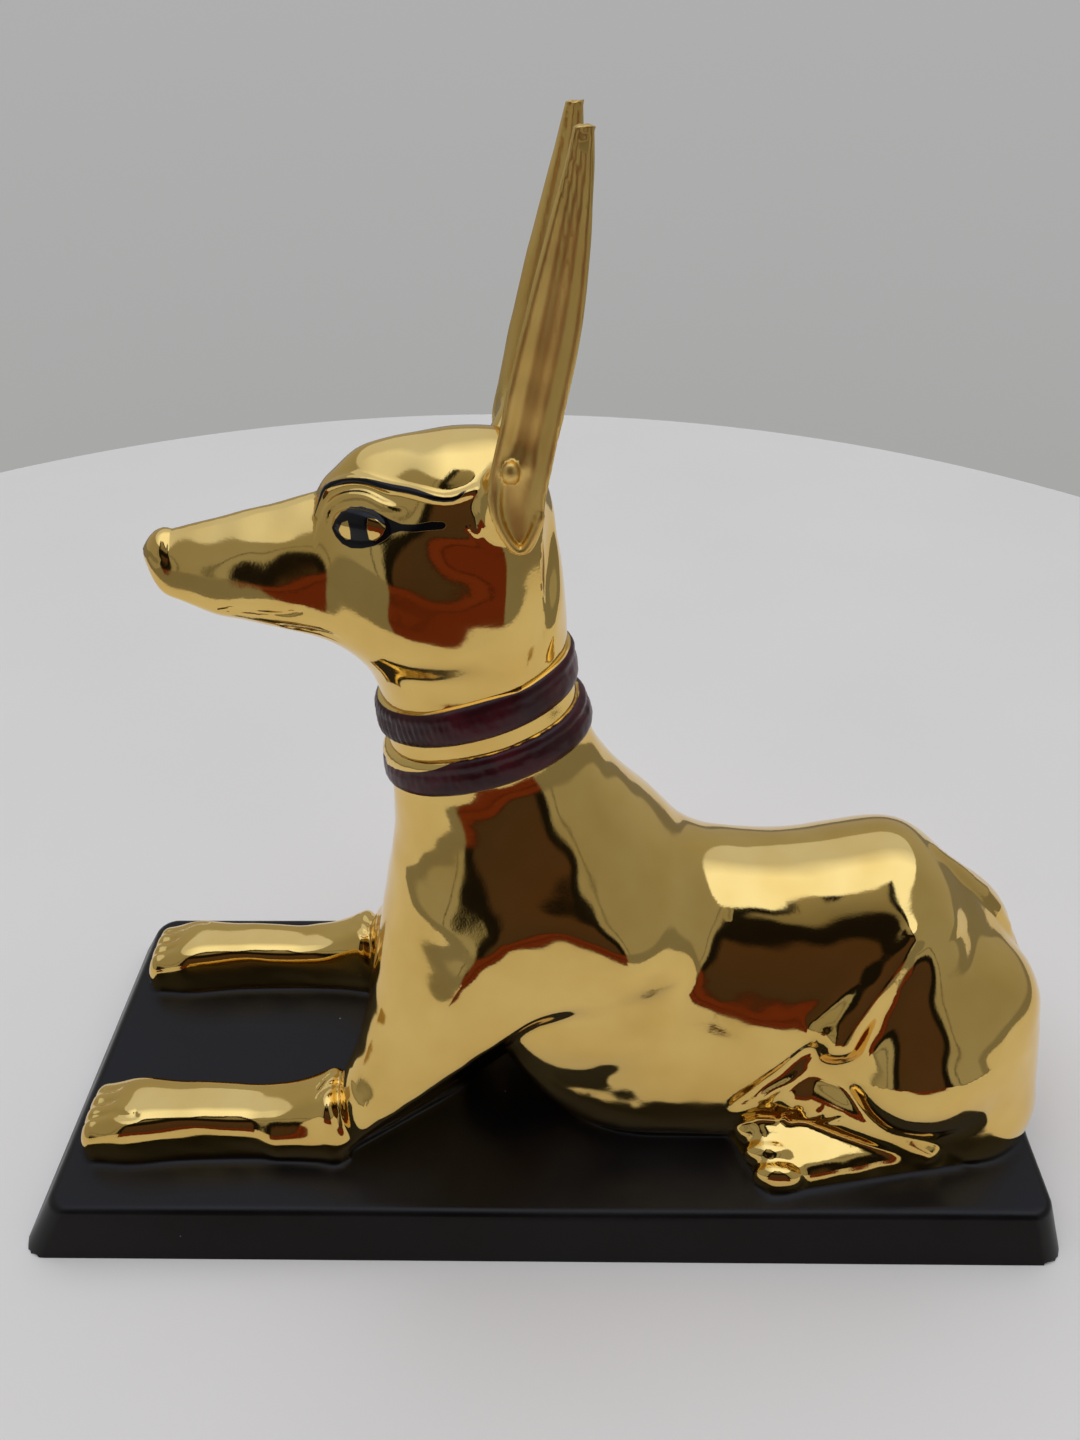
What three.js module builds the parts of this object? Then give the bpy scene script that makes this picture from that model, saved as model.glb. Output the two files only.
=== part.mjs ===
// A lying jackal on a low slab, after the guardian figures of ancient Egyptian shrines.
// Millimetres, +Z up. The origin is the middle of the slab's underside, and the jackal looks along -X.
import * as THREE from "three";

// Driving sizes
const figureLength = 153.8; // paw tips to the rump
const plinthHeight = 8.3;
const plinthFrontMargin = 2.9; // plinth top beyond the paws
const plinthRearMargin = -1.7; // plinth top beyond the rump, which hangs over it a little
const plinthSideMargin = 3; // plinth top beyond the hind toes
const plinthSideDraft = 3.1; // how far each long side leans inwards, bottom to top
const plinthFrontDraft = 4.8; // the end below the paws slopes most
const plinthRearDraft = 2;
const plinthCorner = 3.5; // corner radius seen from above
const plinthRound = 0.9; // rounding of the upper edge
const seatGap = 0.3; // figure to plinth

// The figure is drawn in a frame of its own, where z = 0 is the top of the plinth, and is then
// scaled to figureLength.
const gridStep = 0.9; // sampling step at drawn size
const sampleMargin = 1.5; // sampled space round the drawn figure
const wantedTriangles = 9000;

// A smooth curve through stations. Past the ends it keeps the end values.
function curve(places, values) {
  const last = places.length - 1;
  const width = places.slice(1).map((place, i) => place - places[i]);
  const slope = values.slice(1).map((value, i) => (value - values[i]) / width[i]);
  // Second derivatives of the natural cubic spline, by elimination down and substitution back.
  const bend = new Array(last + 1).fill(0);
  const upper = new Array(last + 1).fill(0);
  for (let i = 1; i < last; i += 1) {
    const pivot = 2 * (width[i - 1] + width[i]) - width[i - 1] * upper[i - 1];
    upper[i] = width[i] / pivot;
    bend[i] = (6 * (slope[i] - slope[i - 1]) - width[i - 1] * bend[i - 1]) / pivot;
  }
  for (let i = last - 1; i > 0; i -= 1) bend[i] -= upper[i] * bend[i + 1];
  return (at) => {
    const place = Math.min(Math.max(at, places[0]), places[last]);
    let i = 0;
    while (i < last - 1 && place > places[i + 1]) i += 1;
    const a = (places[i + 1] - place) / width[i];
    const b = 1 - a;
    const cubic = (a ** 3 - a) * bend[i] + (b ** 3 - b) * bend[i + 1];
    return a * values[i] + b * values[i + 1] + (cubic * width[i] ** 2) / 6;
  };
}

// One curve for each column of a station table whose first column is the place.
function curves(rows) {
  const places = rows.map((row) => row[0]);
  return rows[0].slice(1).map((_, k) => curve(places, rows.map((row) => row[k + 1])));
}

const tiny = 1e-9;

function length(x, y, z) {
  return Math.sqrt(x * x + y * y + z * z);
}

// The smaller of two distances, with a fillet of width k where they meet.
function blend(a, b, k) {
  const h = Math.max(k - Math.abs(a - b), 0) / k;
  return Math.min(a, b) - (h * h * h * k) / 6;
}

// Distance to an oval with half axes ru and rv. A power of 2 gives an ellipse, and more a squarer form.
function oval(u, v, ru, rv, power) {
  const au = Math.abs(u) / ru + tiny;
  const av = Math.abs(v) / rv + tiny;
  const pu = au ** power;
  const pv = av ** power;
  const form = (pu + pv) ** (1 / power);
  const steep = (form / (pu + pv)) * length(pu / au / ru, pv / av / rv, 0);
  return (form - 1) / Math.max(steep, 0.7 / Math.max(ru, rv));
}

// An oval whose widest level lies anywhere between its low and its high end.
function section(u, v, half, low, widest, high, power) {
  return oval(u, v - widest, half, v > widest ? high - widest : widest - low, power);
}

// Ends a swept form at the first and the last place of its table, with rounded rims.
function capped(distance, along, table) {
  const past = Math.max(table[0][0] - along, along - table[table.length - 1][0]);
  return past > 0 ? length(Math.max(distance, 0), past, 0) : distance;
}

// A limb: a rounded bar from a to b, with radius ra at a and rb at b.
function limb(x, y, z, [a, b, ra, rb]) {
  const dx = b[0] - a[0];
  const dy = b[1] - a[1];
  const dz = b[2] - a[2];
  const raw = ((x - a[0]) * dx + (y - a[1]) * dy + (z - a[2]) * dz) / (dx * dx + dy * dy + dz * dz);
  const t = Math.min(Math.max(raw, 0), 1);
  return length(x - a[0] - t * dx, y - a[1] - t * dy, z - a[2] - t * dz) - (ra + (rb - ra) * t);
}

// An egg with half axes r about c, turned about the vertical and then tipped nose down, in degrees.
function egg(x, y, z, [c, r, turn = 0, tip = 0]) {
  const ct = Math.cos(THREE.MathUtils.degToRad(turn));
  const st = Math.sin(THREE.MathUtils.degToRad(turn));
  const cp = Math.cos(THREE.MathUtils.degToRad(tip));
  const sp = Math.sin(THREE.MathUtils.degToRad(tip));
  const u = (x - c[0]) * ct + (y - c[1]) * st;
  const v = (y - c[1]) * ct - (x - c[0]) * st;
  const along = u * cp - (z - c[2]) * sp;
  const up = u * sp + (z - c[2]) * cp;
  const near = length(along / r[0], v / r[1], up / r[2]) + tiny;
  const steep = length(along / r[0] ** 2, v / r[1] ** 2, up / r[2] ** 2) + tiny;
  return (near * (near - 1)) / steep;
}

// The space behind all of the flat sides, with its edges rounded off. A side is a point and the way it faces.
function faceted(x, y, z, sides, edge) {
  let form = -Infinity;
  for (const [p, n] of sides) {
    const out = (n[0] * (x - p[0]) + n[1] * (y - p[1]) + n[2] * (z - p[2])) / length(...n);
    form = form === -Infinity ? out : -blend(-form, -out, edge);
  }
  return form;
}

// A raised line through points, as thick as radius.
function cord(x, y, z, points, radius) {
  let nearest = Infinity;
  for (let i = 1; i < points.length; i += 1) {
    nearest = Math.min(nearest, limb(x, y, z, [points[i - 1], points[i], radius, radius]));
  }
  return nearest;
}

const mix = (from, to, share) => from.map((value, k) => value + (to[k] - value) * share);

// Widths of the fillets where the forms of the figure run into each other
const fillet = {
  haunch: 2.6,
  neck: 8,
  upperArm: 9,
  armFace: 1.6,
  armCore: 3,
  armUnder: 1.2,
  crease: 1.6,
  creaseTop: 9,
  forearm: 2,
  head: 7,
  muzzle: 0.9,
  hindFoot: 1.4,
  tail: 1.2,
  brow: 0.9,
  eye: 0.8,
  ear: 2.2,
  earRoot: 2,
  cranium: 4,
  armMasses: 4,
  rump: 6,
  pelvis: 4,
  hip: 3,
  footEdge: 1.4,
  toe: 0.7,
  shin: 1.6,
};

// Trunk: place along X, top, half width, widest level, bottom. The plinth cuts the belly off.
const trunkTable = [
  [-18, 38, 8, 33, 28],
  [-10, 44, 14, 28, 19],
  [-3, 48.2, 19.2, 20, 7],
  [4, 50.6, 20.8, 15, -3],
  [12, 50.3, 21, 11, -8],
  [22, 47.8, 21, 10, -9],
  [32, 46, 21, 10, -9],
  [42, 46.4, 20.8, 12, -8],
  [50, 48.2, 19.6, 16, -8],
  [57, 47.4, 17.8, 18, -8],
  [63, 41.8, 15.8, 17, -8],
  [69, 35.4, 12.8, 14, -8],
  [75, 27, 8, 10, -8],
];
const trunkPower = 1.98;
const [trunkTop, trunkHalf, trunkWidest, trunkBottom] = curves(trunkTable);

function trunk(x, y, z) {
  const body = section(y, z, trunkHalf(x), trunkBottom(x), trunkWidest(x), trunkTop(x), trunkPower);
  return capped(body, x, trunkTable);
}

// Neck and chest: height, front, back, half width
const neckTable = [
  [-4, -28, -12, 12],
  [12, -27.5, -8, 17],
  [24, -26, 3, 23],
  [36, -24.3, 16, 23],
  [44, -22.8, 20, 19.8],
  [52, -21.6, 18.6, 16.2],
  [58, -21.2, 13.8, 13.4],
  [66, -21, 8.5, 10.8],
  [73, -21.2, 6.2, 10.4],
  [80, -21.7, 4.6, 10.3],
  [88, -21.2, 4.2, 10.2],
  [98, -18.5, 2.3, 9.6],
  [106, -14, -1.8, 8.4],
];
const neckPower = 2.05;
const [neckFront, neckBack, neckHalf] = curves(neckTable);

function neck(x, y, z) {
  const front = neckFront(z);
  const back = neckBack(z);
  return capped(oval(x - (front + back) / 2, y, (back - front) / 2, neckHalf(z), neckPower), z, neckTable);
}

// Head: place along X, top, bottom, widest level, half width, squareness
const headTable = [
  [-49.9, 97.3, 95.8, 96.5, 0.9, 2],
  [-48.8, 98.7, 92.9, 94.4, 2.5, 2.1],
  [-46, 99.8, 90.4, 92.2, 3.8, 2],
  [-42, 100.8, 88.4, 91.4, 4.9, 1.9],
  [-38, 101.8, 87.4, 91, 5.7, 1.9],
  [-34, 102.7, 86.3, 91, 6.3, 1.9],
  [-30, 103.7, 85.2, 90.6, 6.8, 1.9],
  [-27, 105, 84.1, 90, 7.1, 1.9],
  [-24, 107.3, 82.6, 88.6, 7.7, 1.9],
  [-21, 109.7, 80.8, 87.6, 9.2, 1.8],
  [-18, 110.9, 79.2, 87.2, 10.6, 1.7],
  [-14, 111.6, 78, 87, 11.3, 1.65],
  [-9, 111.8, 77, 87, 11.3, 1.65],
  [-4, 111.9, 77, 87.4, 10.4, 1.8],
  [-1, 110.5, 79, 87, 9, 2],
  [1.5, 106.5, 84, 92, 6, 2],
];
const cranium = [[-8, 0, 101.4], [10.3, 8.6, 10.2]]; // the back of the skull
const [headTop, headBottom, headWidest, headHalf, headPower] = curves(headTable);

// A flat facet down each side of the muzzle's top, which ends before the brow
const muzzleSide = [-34, 5.1, 97.6]; // a point of the facet
const muzzleWiden = 0.25;
const muzzleSlope = 1;
const muzzleStart = -46;
const muzzleEnd = -26.5;
const muzzleEndTurn = 1.5; // how fast the facet turns outwards past its end

function muzzleTop(x, out, z) {
  const past = Math.max(muzzleStart - x, 0) + muzzleEndTurn * Math.max(x - muzzleEnd, 0);
  const side = muzzleSide[1] + muzzleWiden * (x - muzzleSide[0]) - muzzleSlope * (z - muzzleSide[2]);
  return (out - side - past) / length(1, muzzleWiden, muzzleSlope);
}

function head(x, out, z) {
  const form = section(out, z, headHalf(x), headBottom(x), headWidest(x), headTop(x), headPower(x));
  const faced = -blend(-form, -muzzleTop(x, out, z), fillet.muzzle);
  return blend(capped(faced, x, headTable), egg(x, out, z, cranium), fillet.cranium);
}

// Ear: height, front edge, rear edge, distance from the middle, depth of the hollow
const earTable = [
  [101.5, -1.9, 0.6, 11.4, 0.5],
  [104, -3, 1.7, 11.5, 1.3],
  [108, -4.1, 2.5, 11.3, 1.7],
  [113, -3.3, 3.6, 11, 1.7],
  [120, -1.6, 5.3, 10.7, 1.5],
  [128, 0.6, 6.9, 10.5, 1.2],
  [136, 3, 7.7, 10.3, 0.8],
  [142, 4.9, 8, 10, 0.5],
  [145.8, 6, 8, 9.8, 0.3],
];
const earRoot = [[-2.8, 5.5, 104.5], [-0.4, 9.9, 112], 4, 1.7];
const earHalfThickness = 1.15;
const earPower = 2.6;
const earSet = 0.9; // the ear at +y stands this far forward of the one at -y
const [earFront, earRear, earOut, earHollow] = curves(earTable);

function ear(x, y, z, forward) {
  const half = (earRear(z) - earFront(z)) / 2;
  const across = x + forward - (earRear(z) + earFront(z)) / 2;
  const share = Math.min(Math.abs(across) / half, 1.3);
  const middle = earOut(z) + earHollow(z) * (share * share - 0.5);
  const blade = capped(oval(across, y - middle, half, earHalfThickness, earPower), z, earTable);
  return blend(blade, limb(x + forward, y, z, earRoot), fillet.earRoot);
}

// Forearm with its paw: place along X, top, half width
const forearmTable = [
  [-74.6, 3, 3.4],
  [-73.8, 5.6, 4.7],
  [-71.5, 7.8, 5.7],
  [-67, 9.3, 6],
  [-61, 9.6, 5.4],
  [-53, 9.6, 4.9],
  [-45, 9.2, 4.8],
  [-39, 10.4, 5],
  [-35, 12.4, 5.5],
  [-32.6, 12.2, 5.6],
  [-31.2, 9.5, 4.6],
];
const forearmOut = 18; // middle line of the forearm to the middle of the figure
const forearmWidest = 2.5;
const forearmBottom = -5;
const forearmPower = 3.2;
const [forearmTop, forearmHalf] = curves(forearmTable);

function forearm(x, y, z) {
  const [low, widest, high] = [forearmBottom, forearmWidest, forearmTop(x)];
  const form = section(y - forearmOut, z, forearmHalf(x), low, widest, high, forearmPower);
  return capped(form, x, forearmTable);
}

// The upper arm: its rear edge, its front edge and the shoulder
const armRear = [[2, 9.5, 35.5], [-23.6, 17.3, 10], 13.5, 8.6];
const armFront = [[-12, 6.5, 42], [-24, 16.6, 8], 9, 7.6];
const shoulder = [[9.5, 9.2, 36.5], [7, 10.4, 26.5], 11.8, 10.8];

// The lower arm runs on under the upper arm.
const armCore = [[-42, 18.6, 3.8], [-28, 17.8, 4.6], 5.2, 6.2];
const armUnder = [[-11.9, 24, 23.6], [0.5, 0.7, -0.5]]; // flat underside: a point and the way it faces
const creaseFoot = 27; // above here the crease behind the arm widens into the shoulder
const creaseRise = 9;

// Neck and upper arms, cut off below and behind by the flat underside of each arm
function chest(x, out, z) {
  const arm = blend(limb(x, out, z, armRear), limb(x, out, z, armFront), fillet.armMasses);
  const form = blend(neck(x, out, z), arm, fillet.upperArm);
  const whole = blend(form, limb(x, out, z, armCore), fillet.armCore);
  return -blend(-whole, -faceted(x, out, z, [armUnder], 1), fillet.armUnder);
}

// The outer side of the arm and shoulder is one broad plane that leans in a little as it rises.
const armFaceOut = 24.6; // at the height of armFaceFoot
const armFaceFoot = 10;
const armFaceLean = 0.03;
const armFaceCurl = 0.0028;

function armFace(out, z) {
  const rise = z - armFaceFoot;
  return out - armFaceOut + armFaceLean * rise + armFaceCurl * Math.max(rise, 0) ** 2;
}

const thigh = [[57.5, 12.3, 16], [54.5, 5.2, 34.5], 13.8, 9.4];
const rump = [[66, 10.5, 4.5], [64.6, 7, 20], 13.2, 13.2];
const pelvis = [[50, 7, 31], [57.5, 10, 33.5], 8.6, 5];
const hipBone = [[58.8, 8.9, 38.4], [2.4, 2.4, 2.4]];
const thighCrest = [[54, 12.6, 39.5], [44, 17.2, 25], 1.2, 4.6]; // front edge of the thigh

function haunch(x, y, z) {
  const mass = blend(limb(x, y, z, thigh), limb(x, y, z, rump), fillet.rump);
  const hip = blend(blend(mass, limb(x, y, z, pelvis), fillet.pelvis), egg(x, y, z, hipBone), fillet.hip);
  return blend(hip, limb(x, y, z, thighCrest), fillet.hip);
}

// Tail: from the end of the back down over the rump to the plinth
const tailLine = [
  [59, 0, 43.5],
  [65, 0, 38.4],
  [70, 0, 33],
  [74, 0, 23.5],
  [75.9, 0, 10],
  [75.9, 0, 0],
];
const tailRadius = 2.2;

// Hind foot: a wedge with flat sides and its toes in a slanting row, and the shin that folds back above it
const footSides = [
  [[35.2, 24.5, 5.4], [0.1, 0.66, 1]],
  [[34.7, 28.9, 0], [0.17, 0.95, 0.3]],
  [[28.3, 15.8, 0], [-0.9, 0.44, 0.25]],
  [[44, 17, 12.5], [0.5, -0.2, 0.8]],
  [[66, 20, 0], [1, 0.2, 0.3]],
];
const shin = [[40.2, 17.2, 13], [59.5, 21.4, 2.8], 5.6, 3];
const toeCount = 4;
const firstToe = [32.6, 17.8, 5.9];
const lastToe = [36, 26.9, 2.1];
const toeSize = [3.8, 1.8, 2.7];
const toeTurn = 6;

function hindFoot(x, y, z) {
  let foot = faceted(x, y, z, footSides, fillet.footEdge);
  for (let i = 0; i < toeCount; i += 1) {
    const centre = mix(firstToe, lastToe, i / (toeCount - 1));
    foot = blend(foot, egg(x, y, z, [centre, toeSize, toeTurn]), fillet.toe);
  }
  return blend(foot, limb(x, y, z, shin), fillet.shin);
}

// Collar: two rolls round the neck, square to an axis that leans back
const collarMiddle = [-8, 72.7]; // x and z
const collarLean = THREE.MathUtils.degToRad(15);
const collarRolls = [
  [0.5, 6],
  [-7.2, -1.9],
];
const collarRise = 1.15;
const collarReach = { front: -30, rear: 20, bottom: 55, top: 90 };

function collar(x, z) {
  const up = (z - collarMiddle[1]) * Math.cos(collarLean) - (x - collarMiddle[0]) * Math.sin(collarLean);
  let rise = 0;
  for (const [low, high] of collarRolls) {
    const share = (2 * up - low - high) / (high - low);
    if (Math.abs(share) < 1) rise += collarRise * Math.sqrt(1 - share ** 4);
  }
  const level = z > collarReach.bottom && z < collarReach.top;
  return level && x > collarReach.front && x < collarReach.rear ? rise : 0;
}

// Brow: a raised line from the root of the muzzle, over the eye and back to the ear
const browLine = [
  [-25.8, 3.2, 102.6],
  [-24.5, 2.2, 105.6],
  [-21.5, 3.3, 107.2],
  [-18.2, 4.4, 107.2],
  [-13.8, 6.2, 106.8],
  [-9.6, 7.5, 106.4],
  [-6, 7.1, 107.2],
];
const browRadius = 0.6;
const eyeball = [[-20.3, 6.1, 102.4], [3.6, 1.2, 2.2], 20];

// The figure as drawn, from its outermost forms
const lastOf = (list) => list[list.length - 1];
const drawnFront = forearmTable[0][0];
const drawnRear = rump[0][0] + rump[2];
const drawnHalfWidth = lastToe[1] + toeSize[1];
const drawnTop = lastOf(earTable)[0];
const scale = figureLength / (drawnRear - drawnFront);
const drawnSeat = seatGap / scale;

// Farther from a form than the widest fillet, that form isn't worked out.
const widest = Math.max(...Object.values(fillet));
const armEnd = shoulder[0][0] + shoulder[2] + widest;
const forearmEnd = lastOf(forearmTable)[0] + widest;
const hindStart = firstToe[0] - toeSize[0] - widest;
const tailStart = tailLine[0][0] - tailRadius - widest;
const headStart = Math.min(...headTable.map((row) => row[2])) - widest;
const faceStart = earTable[0][0] - widest;

// Distance from a point to the skin, negative inside. The legs, haunches and ears come in pairs.
function figure(x, y, z) {
  const out = Math.abs(y);
  let skin = trunk(x, y, z);
  if (x > hindStart) skin = blend(skin, haunch(x, out, z), fillet.haunch);
  if (x < armEnd) skin = blend(skin, limb(x, out, z, shoulder), fillet.upperArm);
  const widening = THREE.MathUtils.smoothstep(z, creaseFoot, creaseFoot + creaseRise);
  skin = blend(skin, chest(x, out, z), fillet.crease + (fillet.creaseTop - fillet.crease) * widening);
  if (x < armEnd) skin = -blend(-skin, -armFace(out, z), fillet.armFace);
  if (x < forearmEnd) skin = blend(skin, forearm(x, out, z), fillet.forearm);
  if (z > headStart) skin = blend(skin, head(x, out, z), fillet.head);
  if (x > hindStart) skin = blend(skin, hindFoot(x, out, z), fillet.hindFoot);
  if (x > tailStart) skin = blend(skin, cord(x, y, z, tailLine, tailRadius), fillet.tail);
  skin -= collar(x, z);
  if (z > faceStart) {
    skin = blend(skin, cord(x, out, z, browLine, browRadius), fillet.brow);
    skin = blend(skin, egg(x, out, z, eyeball), fillet.eye);
    skin = blend(skin, ear(x, out, z, y < 0 ? 0 : earSet), fillet.ear);
  }
  return Math.max(skin, drawnSeat - z);
}

// Samples a distance over a box of cells. Blocks far from the skin are filled from one sample.
function sample(distance, low, high, step) {
  const block = 5;
  const count = low.map((from, k) => Math.ceil((high[k] - from) / step / block) * block + 1);
  const values = new Float32Array(count[0] * count[1] * count[2]);
  const at = (i, j, k) => (k * count[1] + j) * count[0] + i;
  const place = (i, k) => low[k] + i * step;
  const reach = step * block * 1.3;
  for (let kb = 0; kb < count[2]; kb += block) {
    for (let jb = 0; jb < count[1]; jb += block) {
      for (let ib = 0; ib < count[0]; ib += block) {
        const half = (block - 1) / 2;
        const middle = distance(place(ib + half, 0), place(jb + half, 1), place(kb + half, 2));
        for (let k = kb; k < Math.min(kb + block, count[2]); k += 1) {
          for (let j = jb; j < Math.min(jb + block, count[1]); j += 1) {
            for (let i = ib; i < Math.min(ib + block, count[0]); i += 1) {
              const far = Math.abs(middle) > reach;
              values[at(i, j, k)] = far ? middle : distance(place(i, 0), place(j, 1), place(k, 2));
            }
          }
        }
      }
    }
  }
  return { values, count, at, place };
}

// Where two samples inside meet two outside corner to corner, one outside is taken in,
// so that the surface never touches itself along an edge.
function withoutPinches(samples) {
  const { values, count, at } = samples;
  let changed = true;
  while (changed) {
    changed = false;
    for (let k = 0; k < count[2] - 1; k += 1) {
      for (let j = 0; j < count[1] - 1; j += 1) {
        for (let i = 0; i < count[0] - 1; i += 1) {
          const a = at(i, j, k);
          for (const [b, c, d] of [
            [at(i + 1, j, k), at(i, j + 1, k), at(i + 1, j + 1, k)],
            [at(i, j + 1, k), at(i, j, k + 1), at(i, j + 1, k + 1)],
            [at(i, j, k + 1), at(i + 1, j, k), at(i + 1, j, k + 1)],
          ]) {
            const inside = values[a] < 0;
            if (inside === values[b] < 0 || inside === values[c] < 0 || inside !== values[d] < 0) continue;
            const [m, n] = inside ? [b, c] : [a, d];
            values[values[m] < values[n] ? m : n] = -0.02;
            changed = true;
          }
        }
      }
    }
  }
  return samples;
}

// The surface through the samples: one point in each cell that the skin crosses, and one
// four-sided face round each sampled edge that it crosses.
function skinOf({ values, count, at, place }) {
  const points = [];
  const pointOf = new Int32Array(values.length).fill(-1);
  for (let k = 0; k < count[2] - 1; k += 1) {
    for (let j = 0; j < count[1] - 1; j += 1) {
      for (let i = 0; i < count[0] - 1; i += 1) {
        let inside = 0;
        for (let corner = 0; corner < 8; corner += 1) {
          const value = values[at(i + (corner & 1), j + ((corner >> 1) & 1), k + ((corner >> 2) & 1))];
          inside += value < 0 ? 1 : 0;
        }
        if (inside === 0 || inside === 8) continue;
        let crossings = 0;
        const sum = [0, 0, 0];
        for (let corner = 0; corner < 8; corner += 1) {
          const from = [i + (corner & 1), j + ((corner >> 1) & 1), k + ((corner >> 2) & 1)];
          for (let axis = 0; axis < 3; axis += 1) {
            if ((corner >> axis) & 1) continue;
            const to = [...from];
            to[axis] += 1;
            const a = values[at(...from)];
            const b = values[at(...to)];
            if (a < 0 === b < 0) continue;
            crossings += 1;
            from.forEach((n, m) => (sum[m] += place(n + (m === axis ? a / (a - b) : 0), m)));
          }
        }
        pointOf[at(i, j, k)] = points.length;
        points.push(sum.map((s) => s / crossings));
      }
    }
  }
  const triangles = [];
  const cell = (n, a, da, b, db) => {
    const m = [...n];
    m[a] -= da;
    m[b] -= db;
    return pointOf[at(...m)];
  };
  for (let k = 1; k < count[2] - 1; k += 1) {
    for (let j = 1; j < count[1] - 1; j += 1) {
      for (let i = 1; i < count[0] - 1; i += 1) {
        const here = values[at(i, j, k)] < 0;
        for (let axis = 0; axis < 3; axis += 1) {
          const next = [i, j, k];
          next[axis] += 1;
          if (here === values[at(...next)] < 0) continue;
          const b = (axis + 1) % 3;
          const c = (axis + 2) % 3;
          const n = [i, j, k];
          const quad = [cell(n, b, 1, c, 1), cell(n, b, 0, c, 1), cell(n, b, 0, c, 0), cell(n, b, 1, c, 0)];
          if (!here) quad.reverse();
          triangles.push([quad[0], quad[1], quad[2]], [quad[0], quad[2], quad[3]]);
        }
      }
    }
  }
  return { points, triangles };
}

// Squared distance to the planes of the faces round a point, as the ten numbers of a quadric.
function addPlane(quadric, n, d, weight) {
  const v = [n.x, n.y, n.z, d];
  let slot = 0;
  for (let i = 0; i < 4; i += 1) {
    for (let j = i; j < 4; j += 1) quadric[slot++] += v[i] * v[j] * weight;
  }
}

function strayOf(q, p) {
  const [xx, xy, xz, xd, yy, yz, yd, zz, zd, dd] = q;
  const squares = xx * p.x * p.x + yy * p.y * p.y + zz * p.z * p.z + dd;
  const products = xy * p.x * p.y + xz * p.x * p.z + yz * p.y * p.z;
  return squares + 2 * (products + xd * p.x + yd * p.y + zd * p.z);
}

// The point that strays least from the planes, or else the best of the two ends and their middle.
function bestPoint(q, a, b) {
  const [xx, xy, xz, xd, yy, yz, yd, zz, zd] = q;
  const matrix = new THREE.Matrix3(xx, xy, xz, xy, yy, yz, xz, yz, zz);
  const middle = a.clone().lerp(b, 0.5);
  const size = xx + yy + zz;
  if (matrix.determinant() > 1e-4 * size ** 3) {
    const best = new THREE.Vector3(-xd, -yd, -zd).applyMatrix3(matrix.invert());
    if (best.distanceTo(middle) < a.distanceTo(b)) return best;
  }
  return [middle, a, b].reduce((kept, p) => (strayOf(q, p) < strayOf(q, kept) ? p : kept)).clone();
}

// A queue that gives back its cheapest entry first.
class CheapestFirst {
  entries = [];
  push(entry) {
    const heap = this.entries;
    let i = heap.push(entry) - 1;
    while (i > 0) {
      const parent = (i - 1) >> 1;
      if (heap[parent].cost <= entry.cost) break;
      heap[i] = heap[parent];
      i = parent;
    }
    heap[i] = entry;
  }
  pop() {
    const heap = this.entries;
    const first = heap[0];
    const moved = heap.pop();
    let i = 0;
    while (2 * i + 1 < heap.length) {
      let child = 2 * i + 1;
      if (child + 1 < heap.length && heap[child + 1].cost < heap[child].cost) child += 1;
      if (moved.cost <= heap[child].cost) break;
      heap[i] = heap[child];
      i = child;
    }
    if (heap.length) heap[i] = moved;
    return first;
  }
}

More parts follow.
